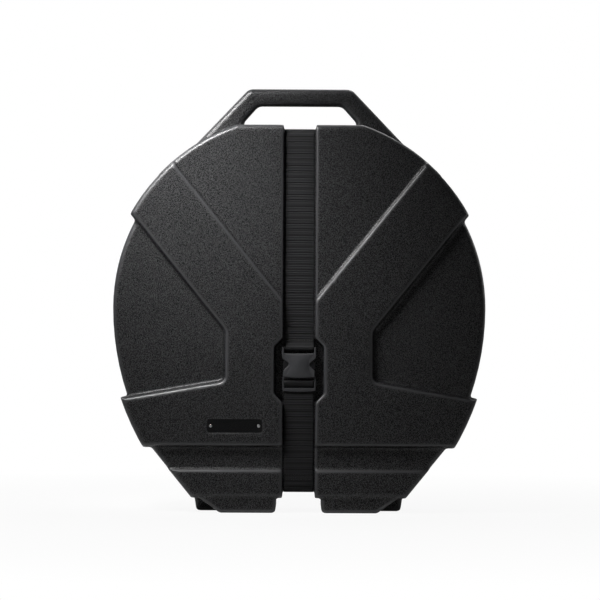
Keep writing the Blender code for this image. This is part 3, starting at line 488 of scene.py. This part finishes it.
def webbing_finish(name, group, colour, rib_pitch, band_pitch):
    """Ribbed webbing whose colour carries painted shade and light: black in its deeper grooves and lighter
    on its ribs.
    """
    finish, tree, shader = new_finish(name)
    weave = placed_group(tree, group, "UV", {"Rib Scale": 1 / rib_pitch, "Band Scale": 1 / band_pitch})
    height = weave.outputs["Height"]
    # Painted shade: the colour falls to black in the deeper grooves, and between the ribs it is half as
    # light as on their crests
    raised = spread(tree, weave.outputs["Band"], start=0.15, end=0.45)
    ribs = math_node(tree, "MULTIPLY", spread(tree, weave.outputs["Rib"], low=0.5), raised)
    tone = two_tone(tree, ribs, shade(colour, 0.0), shade(colour, 2.2))
    tree.links.new(tone, shader.inputs["Base Color"])
    tree.links.new(spread(tree, height, low=0.8, high=0.55), shader.inputs["Roughness"])
    tree.links.new(bump(tree, height, strength=0.7, distance=0.0004), shader.inputs["Normal"])
    shader.inputs["Specular IOR Level"].default_value = 0.2
    shader.inputs["Sheen Weight"].default_value = 0.04
    shader.inputs["Sheen Roughness"].default_value = 0.4
    return finish


def fibre_finish(name, group, colour, scale, depth):
    """Foam, felt or thread, with a mottled tone and a little sheen."""
    finish, tree, shader = new_finish(name)
    fibres = placed_group(tree, group, "Object", {"Scale": scale})
    tone = two_tone(tree, fibres.outputs["Tone"], shade(colour, 0.5), shade(colour, 1.7))
    tree.links.new(tone, shader.inputs["Base Color"])
    dents = bump(tree, fibres.outputs["Height"], strength=0.8, distance=depth)
    tree.links.new(dents, shader.inputs["Normal"])
    shader.inputs["Roughness"].default_value = 0.95
    shader.inputs["Sheen Weight"].default_value = 0.2
    return finish


def metal_finish(name, group, colour, roughness):
    """Plated or drawn metal: a low grain that breaks up its gloss."""
    finish, tree, shader = new_finish(name)
    grain = placed_group(tree, group, "Object", {"Pebble Scale": 1500.0, "Pit Scale": 4000.0})
    tone = two_tone(tree, grain.outputs["Tone"], shade(colour, 0.85), shade(colour, 1.1))
    gloss = spread(tree, grain.outputs["Pebble"], roughness * 1.3, roughness)
    dents = bump(tree, grain.outputs["Height"], strength=0.15, distance=0.00003)
    tree.links.new(tone, shader.inputs["Base Color"])
    tree.links.new(gloss, shader.inputs["Roughness"])
    tree.links.new(dents, shader.inputs["Normal"])
    shader.inputs["Metallic"].default_value = 1.0
    return finish


# Shapes


def round_corners(corners, steps):
    """Points of a route through (y, z, radius) corners, each turned by an arc of its own radius."""
    points = []
    for place, here in enumerate(corners):
        corner = Vector(here[:2])
        if not here[2]:
            points.append(corner)
            continue
        back = (Vector(corners[place - 1][:2]) - corner).normalized()
        ahead = (Vector(corners[place + 1][:2]) - corner).normalized()
        half = math.acos(max(-1.0, min(1.0, back.dot(ahead)))) / 2
        centre = corner + (back + ahead).normalized() * (here[2] / math.sin(half))
        start = corner + back * (here[2] / math.tan(half)) - centre
        end = corner + ahead * (here[2] / math.tan(half)) - centre
        first = math.atan2(start.y, start.x)
        turn = math.remainder(math.atan2(end.y, end.x) - first, math.tau)
        for step in range(steps + 1):
            angle = first + turn * step / steps
            points.append(centre + Vector((math.cos(angle), math.sin(angle))) * here[2])
    return points


def evenly(points, spacing):
    """The route's points at even distances, each with its distance and direction."""
    lengths = [0.0]
    for one, two in zip(points, points[1:]):
        lengths.append(lengths[-1] + (two - one).length)
    count = max(2, round(lengths[-1] / spacing))
    route = []
    part = 0
    for step in range(count + 1):
        reach = lengths[-1] * step / count
        while part < len(points) - 2 and lengths[part + 1] < reach:
            part += 1
        run = points[part + 1] - points[part]
        share = (reach - lengths[part]) / max(run.length, 1e-9)
        route.append((points[part] + run * share, reach))
    placed = []
    for place, (point, reach) in enumerate(route):
        before = route[max(place - 1, 0)][0]
        after = route[min(place + 1, count)][0]
        placed.append((point, (after - before).normalized(), reach))
    return placed, lengths[-1]


def webbing_strip(name, corners, settings):
    """A strip of ribbed webbing along a route, with rounded selvedges and a UV map in metres."""
    bend_steps, rings_per_rib, columns = 24, 6, 10
    groove_share, selvedge_start, selvedge_width, selvedge_least = 0.4, 0.93, 0.07, 0.16
    placed, length = evenly(round_corners(corners, bend_steps), settings.rib_pitch / rings_per_rib)
    half = STRAP_WIDTH / 2
    mesh = bmesh.new()
    layer = mesh.loops.layers.uv.new("webbing")
    across = [half * math.sin(math.pi / 2 * (2 * step / columns - 1)) for step in range(columns + 1)]
    rings = []
    for point, ahead, reach in placed:
        outward = Vector((-ahead.y, ahead.x))
        rib = abs(math.sin(math.pi * reach / settings.rib_pitch))
        band = abs(math.sin(math.pi * reach / settings.band_pitch))
        groove = settings.rib_depth * (1 - rib) + settings.band_depth * max(0.0, 1 - band / groove_share)
        thick = STRAP_THICKNESS / 2 - groove
        ring = []
        for side in (1, -1):
            for x in across if side > 0 else across[::-1]:
                edge = max(0.0, abs(x) / half - selvedge_start) / selvedge_width
                lift = thick * math.sqrt(max(selvedge_least, 1 - edge * edge)) * side
                spot = point + outward * lift
                ring.append(mesh.verts.new((x, spot.x, spot.y)))
        rings.append(ring)
    count = len(rings[0])
    for row, (one, two) in enumerate(zip(rings, rings[1:])):
        for column in range(count):
            following = (column + 1) % count
            face = mesh.faces.new((one[column], one[following], two[following], two[column]))
            face.smooth = True
            for loop, place in zip(face.loops, (row, row, row + 1, row + 1)):
                loop[layer].uv = (loop.vert.co.x, placed[place][2])
    mesh.faces.new(rings[0][::-1])
    mesh.faces.new(rings[-1])
    bmesh.ops.recalc_face_normals(mesh, faces=mesh.faces)
    data = bpy.data.meshes.new(name)
    mesh.to_mesh(data)
    mesh.free()
    piece = bpy.data.objects.new(name, data)
    bpy.context.scene.collection.objects.link(piece)
    return piece, length


def stitch_rows(name, y, heights, pitch, width, finish):
    """Rows of stitches across the webbing. One stitch is modelled and copied."""
    deselect()
    bpy.ops.mesh.primitive_uv_sphere_add(segments=8, ring_count=6, radius=0.5, location=(0, y, heights[0]))
    stitch = added(name)
    stitch.scale = tuple(pitch * share for share in STITCH_SHAPE)
    settle(stitch)
    pattern = stitch.data.copy()
    count = int(width / pitch)
    for z in heights:
        for place in range(count):
            x = (place - (count - 1) / 2) * pitch
            copy = bpy.data.objects.new(name, pattern.copy())
            copy.data.transform(Matrix.Translation((x, 0, z - heights[0])))
            bpy.context.scene.collection.objects.link(copy)
            copy.select_set(True)
    stitch.select_set(False)
    copies = list(bpy.context.selected_objects)
    bpy.data.objects.remove(stitch)
    bpy.context.view_layer.objects.active = copies[0]
    bpy.ops.object.join()
    rows = added(name)
    smooth(rows, degrees=60)
    dress(rows, finish)
    return rows


def bevel(piece, name, width, segments, degrees):
    """A live modifier that rounds the edges sharper than the angle."""
    rounding = piece.modifiers.new(name, "BEVEL")
    rounding.width = width
    rounding.segments = segments
    rounding.limit_method = "ANGLE"
    rounding.angle_limit = math.radians(degrees)
    return rounding


def soft_copy(node, name, edge):
    """A soft piece in the place of a CAD solid: its loose faces are joined and its edges rounded."""
    piece = bpy.data.objects.new(name, NODES[node].data.copy())
    bpy.context.scene.collection.objects.link(piece)
    choose(piece)
    bpy.ops.object.mode_set(mode="EDIT")
    bpy.ops.mesh.select_all(action="SELECT")
    bpy.ops.mesh.remove_doubles(threshold=MERGE)
    bpy.ops.mesh.dissolve_limited(angle_limit=FLAT)
    bpy.ops.object.mode_set(mode="OBJECT")
    bevel(piece, "rounded edges", edge, segments=4, degrees=40)
    triangles = piece.modifiers.new("triangles", "TRIANGULATE")
    triangles.keep_custom_normals = True
    settle(piece)
    smooth(piece, degrees=50)
    return piece


def mark_edges(piece):
    """Writes how near each point is to an outer edge, from how far the faces round it spread apart."""
    mesh = bmesh.new()
    mesh.from_mesh(piece.data)
    marks = []
    around = []
    for vertex in mesh.verts:
        middle = Vector()
        for face in vertex.link_faces:
            middle += face.normal
        middle /= len(vertex.link_faces)
        ring = Vector()
        for edge in vertex.link_edges:
            ring += edge.other_vert(vertex).co - vertex.co
        outer = ring.dot(middle) < 0
        marks.append(min(1.0, (1 - middle.length) / EDGE_FULL) if outer else 0.0)
        around.append([vertex.index] + [edge.other_vert(vertex).index for edge in vertex.link_edges])
    mesh.free()

    def averaged(values):
        return [sum(values[index] for index in ring) / len(ring) for ring in around]

    marks = averaged([max(0.0, mark - EDGE_FLOOR) for mark in averaged(marks)])
    layer = piece.data.attributes.new(EDGE_MARK, "FLOAT", "POINT")
    layer.data.foreach_set("value", [min(1.0, EDGE_GAIN * mark) for mark in marks])


def finish_node(node, finish, edge, degrees=40):
    """A CAD node that stays: its finish, and soft edges by modifiers that leave its mesh alone."""
    piece = NODES[node]
    dress(piece, finish)
    weld = piece.modifiers.new("weld", "WELD")
    weld.merge_threshold = MERGE
    flats = piece.modifiers.new("joined flats", "DECIMATE")
    flats.decimate_type = "DISSOLVE"
    flats.angle_limit = FLAT
    short = piece.modifiers.new("short edges", "WELD")
    short.merge_threshold = edge * SHORT_EDGE
    bevel(piece, "soft edges", edge, segments=2, degrees=degrees).use_clamp_overlap = False
    level = piece.modifiers.new("even normals", "WEIGHTED_NORMAL")
    level.keep_sharp = False
    level.weight = 60


# Settings that a user would change


class ShellSettings(bpy.types.PropertyGroup):
    colour: FloatVectorProperty(
        name="Shell colour", description="Colour of the moulded shells", subtype="COLOR",
        default=(0.0085, 0.0085, 0.0091), min=0, max=1,
    )
    pebble_size: FloatProperty(
        name="Grain size", description="Distance between the pebbles of the grain",
        default=0.0021, unit="LENGTH",
    )
    grain_depth: FloatProperty(
        name="Grain depth", description="Height of the grain", default=0.0011, unit="LENGTH"
    )
    edge_radius: FloatProperty(
        name="Edge radius", description="Radius of the shells' edges", default=0.0036, unit="LENGTH"
    )
    mesh_size: FloatProperty(
        name="Mesh size", description="Size of the mesh that rounds the edges",
        default=0.0022, unit="LENGTH",
    )


class WebbingSettings(bpy.types.PropertyGroup):
    colour: FloatVectorProperty(
        name="Webbing colour", description="Colour of the strap", subtype="COLOR",
        default=(0.0048, 0.0048, 0.0052), min=0, max=1,
    )
    rib_pitch: FloatProperty(
        name="Rib pitch", description="Distance between the webbing's ribs",
        default=0.0041, unit="LENGTH",
    )
    rib_depth: FloatProperty(
        name="Rib depth", description="Depth of the grooves between the ribs",
        default=0.00022, unit="LENGTH",
    )
    band_pitch: FloatProperty(
        name="Band pitch", description="Distance between the webbing's deeper grooves",
        default=0.0099, unit="LENGTH",
    )
    band_depth: FloatProperty(
        name="Band depth", description="Depth of the deeper grooves", default=0.00035, unit="LENGTH"
    )
    stitch_pitch: FloatProperty(
        name="Stitch pitch", description="Distance between stitches", default=0.0029, unit="LENGTH"
    )


class BuckleSettings(bpy.types.PropertyGroup):
    colour: FloatVectorProperty(
        name="Buckle colour", description="Colour of the buckle", subtype="COLOR",
        default=(0.034, 0.0345, 0.037), min=0, max=1,
    )
    edge_radius: FloatProperty(
        name="Edge radius", description="Radius of the buckle's edges",
        default=0.0005, unit="LENGTH",
    )
    crown: FloatProperty(
        name="Face crown", description="How far the socket's face swells",
        default=0.0034, unit="LENGTH",
    )


class PaddingSettings(bpy.types.PropertyGroup):
    foam_colour: FloatVectorProperty(
        name="Foam colour", description="Colour of the foam pads", subtype="COLOR",
        default=(0.03, 0.03, 0.032), min=0, max=1,
    )
    foam_edge: FloatProperty(
        name="Foam edge", description="Radius of the foam's edges", default=0.004, unit="LENGTH"
    )
    felt_edge: FloatProperty(
        name="Felt edge", description="Radius of the felts' edges", default=0.0025, unit="LENGTH"
    )


class StudioSettings(bpy.types.PropertyGroup):
    distance: FloatProperty(
        name="Camera distance", description="From the camera to the case's face",
        default=4.8, unit="LENGTH",
    )
    camera_height: FloatProperty(
        name="Camera height", description="Height of the camera over the floor",
        default=0.27, unit="LENGTH",
    )
    aim_height: FloatProperty(
        name="Middle height", description="Height that the picture's middle shows",
        default=0.3632, unit="LENGTH",
    )
    view_width: FloatProperty(
        name="View width", description="Width that the picture shows at the case's face",
        default=1.02, unit="LENGTH",
    )
    roll: FloatProperty(
        name="Roll", description="Turn of the camera about its own axis",
        default=math.radians(-0.28), unit="ROTATION",
    )
    floor_size: FloatProperty(
        name="Floor size", description="Width of the floor", default=60.0, unit="LENGTH"
    )


class CYMBAL_OT_shells(bpy.types.Operator):
    """Both moulded shells, with rounded edges and a grained finish"""

    bl_idname = "cymbal.shells"
    bl_label = "Moulded shells"

    def execute(self, context):
        shell = context.scene.cymbal_shell
        finish = moulded_finish(
            "moulded_shell", bpy.data.node_groups["moulded grain"], tuple(shell.colour),
            SHELL_ROUGHNESS, shell.pebble_size, shell.grain_depth, polish=0.55,
        )
        for node, name, body in (
            ("front_shell", "front_moulding", "lid"),
            ("rear_shell", "rear_moulding", "base"),
        ):
            moulding = self.rounded_copy(node, name, shell)
            dress(moulding, finish)
            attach(moulding, body)
            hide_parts(node)
        return {"FINISHED"}

    def rounded_copy(self, node, name, shell):
        """The shell as it comes off its mould: the CAD's form, with every edge rounded."""
        piece = bpy.data.objects.new(name, NODES[node].data.copy())
        bpy.context.scene.collection.objects.link(piece)
        passes = round(2 * (shell.edge_radius / shell.mesh_size) ** 2)
        apply_new(piece, "WELD", merge_threshold=MERGE)
        apply_new(piece, "REMESH", mode="VOXEL", voxel_size=shell.mesh_size)
        apply_new(piece, "SMOOTH", factor=0.5, iterations=passes)
        apply_new(piece, "DECIMATE", ratio=KEPT_TRIANGLES)
        mark_edges(piece)
        bpy.ops.object.shade_smooth()
        apply_new(piece, "WEIGHTED_NORMAL", weight=80)
        return piece


class CYMBAL_OT_badge(bpy.types.Operator):
    """Bare plate and its two rivets"""

    bl_idname = "cymbal.badge"
    bl_label = "Bare plate"

    def execute(self, context):
        grain = bpy.data.node_groups["moulded grain"]
        plate = smooth_finish("plate_face", PLATE_COLOUR, PLATE_ROUGHNESS)
        rivet = metal_finish("bright_rivet", grain, RIVET_COLOUR, roughness=0.25)
        finish_node("badge_plate", plate, BADGE_EDGE)
        for node in ("badge_rivet_left", "badge_rivet_right"):
            finish_node(node, rivet, BADGE_EDGE)
        return {"FINISHED"}


class CYMBAL_OT_webbing(bpy.types.Operator):
    """Ribbed webbing: two runs on the lid, and the loop over the back"""

    bl_idname = "cymbal.webbing"
    bl_label = "Webbing"

    def execute(self, context):
        webbing = context.scene.cymbal_webbing
        finish = webbing_finish(
            "ribbed_webbing", bpy.data.node_groups["webbing weave"], tuple(webbing.colour),
            webbing.rib_pitch, webbing.band_pitch,
        )
        wrap = SOCKET_BAR_RADIUS + SEAT
        socket_front = STRAP_FRONT - 2 * wrap
        tail = STRAP_FRONT - STRAP_LAYER
        low = SOCKET_BAR_HEIGHT - wrap
        leave = SOCKET_BAR_HEIGHT + SOCKET_BAR_RADIUS
        upper = [
            (LOOP_SPLIT, STRAP_TOP, 0),
            (STRAP_FRONT, STRAP_TOP, STRAP_BEND),
            (STRAP_FRONT, low, wrap),
            (socket_front, low, wrap),
            (socket_front, leave, FOLD_BENDS[0]),
            (tail, leave + FOLD_SLANT, FOLD_BENDS[1]),
            (tail, FOLD_END, 0),
        ]
        plug_wrap = PLUG_BAR_THICKNESS / 2 + SEAT
        plug_front = STRAP_FRONT - 2 * plug_wrap
        over = PLUG_BAR_TOP + SEAT
        under = PLUG_BAR_LOW - SEAT
        lower = [
            (LOOP_SPLIT, STRAP_BOTTOM, 0),
            (STRAP_FRONT, STRAP_BOTTOM, STRAP_BEND),
            (STRAP_FRONT, over, plug_wrap),
            (plug_front, over, plug_wrap),
            (plug_front, under, plug_wrap),
            (tail, under, TAIL_BEND),
            (tail, TAIL_END, 0),
        ]
        rear = [
            (LOOP_SPLIT, STRAP_TOP, 0),
            (STRAP_REAR, STRAP_TOP, STRAP_BEND),
            (STRAP_REAR, STRAP_BOTTOM, STRAP_BEND),
            (LOOP_SPLIT, STRAP_BOTTOM, 0),
        ]
        for name, route, node in (
            ("webbing_upper_run", upper, "strap_front_upper"),
            ("webbing_lower_run", lower, "strap_front_lower"),
            ("webbing_back_run", rear, "strap_rear"),
        ):
            strip, length = webbing_strip(name, route, webbing)
            dress(strip, finish)
            if node == "strap_rear":
                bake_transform(strip)
            else:
                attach(strip, "lid")
            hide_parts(node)
        return {"FINISHED"}


class CYMBAL_OT_stitching(bpy.types.Operator):
    """Rows of thread that hold the webbing's folded end and its tail"""

    bl_idname = "cymbal.stitching"
    bl_label = "Stitching"

    def execute(self, context):
        webbing = context.scene.cymbal_webbing
        group = bpy.data.node_groups["pores and fibres"]
        thread = fibre_finish("dark_thread", group, THREAD_COLOUR, scale=2500.0, depth=0.0001)
        surface = STRAP_FRONT - STRAP_LAYER - STRAP_THICKNESS / 2
        width = STRAP_WIDTH * SEAM_SHARE
        for name, heights in (("fold_stitches", FOLD_SEAMS), ("tail_stitches", TAIL_SEAMS)):
            rows = stitch_rows(name, surface, heights, webbing.stitch_pitch, width, thread)
            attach(rows, "lid")
        return {"FINISHED"}


class CYMBAL_OT_buckle(bpy.types.Operator):
    """Buckle: glossy plastic on its four mouldings, with painted shade on the release arms, and the socket's
    crowned face
    """

    bl_idname = "cymbal.buckle"
    bl_label = "Buckle"

    def execute(self, context):
        buckle = context.scene.cymbal_buckle
        finish = smooth_finish("buckle_plastic", tuple(buckle.colour), BUCKLE_ROUGHNESS)
        # Painted shade: the release arms get a darker copy of the buckle's finish
        dark = shade(tuple(buckle.colour), ARM_PAINTED_SHADE)
        shaded = smooth_finish("buckle_arm_painted_shade", dark, ARM_ROUGHNESS)
        for node in ("buckle_socket", "buckle_plug"):
            finish_node(node, finish, buckle.edge_radius)
        for node in ("buckle_arm_left", "buckle_arm_right"):
            finish_node(node, shaded, buckle.edge_radius)
        face = self.socket_face(buckle)
        dress(face, finish)
        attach(face, "lid")
        return {"FINISHED"}

    def socket_face(self, buckle):
        """The socket's face: a waisted panel that swells a little across its width."""
        deselect()
        bpy.ops.mesh.primitive_grid_add(
            x_subdivisions=24, y_subdivisions=24, size=2, location=(0, 0, 0), rotation=(math.pi / 2, 0, 0)
        )
        face = added("socket_face")
        face.scale = (1, FACE_HALF_HEIGHT, 1)
        bpy.ops.object.transform_apply(location=False, rotation=True, scale=True)
        front = SOCKET_FRONT - FACE_LIFT
        for vertex in face.data.vertices:
            across = vertex.co.x
            up = vertex.co.z / FACE_HALF_HEIGHT
            rounded = 1 - across * across
            half = FACE_WAIST + FACE_FLARE * abs(up) ** FACE_FLARE_POWER
            swell = buckle.crown * rounded * (1 - FACE_END_LOSS * up * up)
            at_lower_edge = up < -0.99
            dip = FACE_DIP * rounded if at_lower_edge else 0.0
            vertex.co = Vector((across * half, front - swell, FACE_MIDDLE + vertex.co.z - dip))
        wall = face.modifiers.new("wall", "SOLIDIFY")
        wall.thickness = FACE_WALL
        wall.offset = -1
        bevel(face, "rounded edges", FACE_EDGE, segments=3, degrees=40)
        settle(face)
        smooth(face, degrees=40)
        return face


class CYMBAL_OT_padding(bpy.types.Operator):
    """Foam pads and felts in place of their plain solids"""

    bl_idname = "cymbal.padding"
    bl_label = "Padding"

    def execute(self, context):
        padding = context.scene.cymbal_padding
        group = bpy.data.node_groups["pores and fibres"]
        foam = fibre_finish("open_foam", group, tuple(padding.foam_colour), scale=500.0, depth=0.0008)
        felt = fibre_finish("pressed_felt", group, FELT_COLOUR, scale=1400.0, depth=0.0004)
        for node, name, body, finish, edge, slot in (
            ("base_foam_pad", "base_foam_sheet", "base", foam, padding.foam_edge, "foam"),
            ("lid_foam_pad", "lid_foam_sheet", "lid", foam, padding.foam_edge, "foam"),
            ("lower_felt", "lower_felt_disc", "base", felt, padding.felt_edge, "felt"),
            ("upper_felt", "upper_felt_disc", "clamp", felt, padding.felt_edge, "felt"),
        ):
            pad = soft_copy(node, name, edge)
            dress(pad, finish)
            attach(pad, body)
            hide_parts(node)
        return {"FINISHED"}


class CYMBAL_OT_post(bpy.types.Operator):
    """Plated steel on the centre post, its flange and rivets, the washer and the wing nut"""

    bl_idname = "cymbal.post"
    bl_label = "Centre post"

    def execute(self, context):
        grain = bpy.data.node_groups["moulded grain"]
        steel = metal_finish("plated_steel", grain, STEEL_COLOUR, roughness=0.3)
        for node, edge in (
            ("post_flange", 0.0005),
            ("retaining_post", 0.0004),
            ("clamp_washer", 0.0003),
            ("wing_nut", 0.0006),
            ("flange_rivet_1", 0.0003),
            ("flange_rivet_2", 0.0003),
            ("flange_rivet_3", 0.0003),
            ("flange_rivet_4", 0.0003),
        ):
            finish_node(node, steel, edge, degrees=35)
        return {"FINISHED"}


class CYMBAL_OT_studio(bpy.types.Operator):
    """White floor and background, six soft lamps and the camera of the photograph"""

    bl_idname = "cymbal.studio"
    bl_label = "Studio"

    def execute(self, context):
        studio = context.scene.cymbal_studio
        self.camera(context, studio)
        self.floor(studio)
        self.world(context)
        for lamp in LAMPS:
            self.lamp(*lamp)
        context.scene.view_settings.view_transform = "Standard"
        return {"FINISHED"}

    def camera(self, context, studio):
        face = CAD_BOX[0].y
        deselect()
        bpy.ops.object.camera_add(
            location=(CAMERA_SIDE, face - studio.distance, studio.camera_height),
            rotation=(math.pi / 2, studio.roll, 0),
        )
        camera = context.object
        camera.name = "photo_camera"
        camera.data.sensor_width = 36
        camera.data.lens = camera.data.sensor_width * studio.distance / studio.view_width
        camera.data.shift_y = (studio.aim_height - studio.camera_height) / studio.view_width
        context.scene.camera = camera

    def floor(self, studio):
        deselect()
        bpy.ops.mesh.primitive_plane_add(size=studio.floor_size, location=(0, 0, 0))
        floor = added("floor")
        finish, tree, shader = new_finish("white_floor")
        shader.inputs["Base Color"].default_value = (0.8, 0.8, 0.8, 1)
        shader.inputs["Roughness"].default_value = 0.9
        shader.inputs["Specular IOR Level"].default_value = 0.1
        glow = tree.nodes.new("ShaderNodeEmission")
        glow.inputs["Strength"].default_value = 1.0
        places = tree.nodes.new("ShaderNodeTexCoord")
        reach = tree.nodes.new("ShaderNodeVectorMath")
        reach.operation = "LENGTH"
        tree.links.new(places.outputs["Object"], reach.inputs[0])
        share = spread(tree, reach.outputs["Value"], low=FLOOR_SHARE, start=FLOOR_NEAR, end=FLOOR_FAR)
        seen = math_node(tree, "MULTIPLY", background_mask(tree), share)
        blend = tree.nodes.new("ShaderNodeMixShader")
        tree.links.new(seen, blend.inputs["Fac"])
        tree.links.new(shader.outputs["BSDF"], blend.inputs[1])
        tree.links.new(glow.outputs["Emission"], blend.inputs[2])
        tree.links.new(blend.outputs["Shader"], tree.nodes["Material Output"].inputs["Surface"])
        dress(floor, finish)

    def world(self, context):
        world = bpy.data.worlds.new("studio")
        context.scene.world = world
        world.use_nodes = True
        tree = world.node_tree
        room = tree.nodes["Background"]
        room.inputs["Color"].default_value = (1, 1, 1, 1)
        room.inputs["Strength"].default_value = ROOM_LIGHT
        wall = tree.nodes.new("ShaderNodeBackground")
        wall.inputs["Color"].default_value = (1, 1, 1, 1)
        wall.inputs["Strength"].default_value = 1.0
        blend = tree.nodes.new("ShaderNodeMixShader")
        tree.links.new(background_mask(tree), blend.inputs["Fac"])
        tree.links.new(room.outputs["Background"], blend.inputs[1])
        tree.links.new(wall.outputs["Background"], blend.inputs[2])
        tree.links.new(blend.outputs["Shader"], tree.nodes["World Output"].inputs["Surface"])

    def lamp(self, name, place, aim, size, angle, power):
        deselect()
        bpy.ops.object.light_add(type="AREA", location=place)
        lamp = bpy.context.object
        lamp.name = name
        lamp.data.shape = "RECTANGLE"
        lamp.data.size, lamp.data.size_y = size
        lamp.data.spread = math.radians(angle)
        lamp.data.energy = power
        lamp.rotation_euler = (Vector(aim) - Vector(place)).to_track_quat("-Z", "Y").to_euler()


class CYMBAL_PT_case(bpy.types.Panel):
    bl_label = "Cymbal case"
    bl_space_type = "VIEW_3D"
    bl_region_type = "UI"
    bl_category = "Cymbal Case"

    def draw(self, context):
        scene = context.scene
        for label, operators, settings in PANEL_ROWS:
            box = self.layout.box()
            box.label(text=label)
            for operator in operators:
                box.operator(operator.bl_idname)
            group = getattr(scene, settings)
            for item in group.bl_rna.properties:
                if item.identifier not in ("rna_type", "name"):
                    box.prop(group, item.identifier)


PANEL_ROWS = (
    ("Shells", (CYMBAL_OT_shells, CYMBAL_OT_badge), "cymbal_shell"),
    ("Strap", (CYMBAL_OT_webbing, CYMBAL_OT_stitching), "cymbal_webbing"),
    ("Buckle", (CYMBAL_OT_buckle,), "cymbal_buckle"),
    ("Inside", (CYMBAL_OT_padding, CYMBAL_OT_post), "cymbal_padding"),
    ("Studio", (CYMBAL_OT_studio,), "cymbal_studio"),
)

SETTINGS = (
    ("cymbal_shell", ShellSettings),
    ("cymbal_webbing", WebbingSettings),
    ("cymbal_buckle", BuckleSettings),
    ("cymbal_padding", PaddingSettings),
    ("cymbal_studio", StudioSettings),
)

OPERATORS = (
    CYMBAL_OT_shells,
    CYMBAL_OT_badge,
    CYMBAL_OT_webbing,
    CYMBAL_OT_stitching,
    CYMBAL_OT_buckle,
    CYMBAL_OT_padding,
    CYMBAL_OT_post,
    CYMBAL_OT_studio,
)


def register():
    for name, settings in SETTINGS:
        bpy.utils.register_class(settings)
        setattr(bpy.types.Scene, name, PointerProperty(type=settings))
    for operator in OPERATORS:
        bpy.utils.register_class(operator)
    bpy.utils.register_class(CYMBAL_PT_case)


def unregister():
    bpy.utils.unregister_class(CYMBAL_PT_case)
    for operator in reversed(OPERATORS):
        bpy.utils.unregister_class(operator)
    for name, settings in reversed(SETTINGS):
        delattr(bpy.types.Scene, name)
        bpy.utils.unregister_class(settings)


def main():
    register()
    grain_group()
    weave_group()
    fibre_group()
    bpy.ops.cymbal.studio()
    bpy.ops.cymbal.shells()
    bpy.ops.cymbal.badge()
    bpy.ops.cymbal.webbing()
    bpy.ops.cymbal.stitching()
    bpy.ops.cymbal.buckle()
    bpy.ops.cymbal.padding()
    bpy.ops.cymbal.post()


if __name__ == "__main__":
    main()
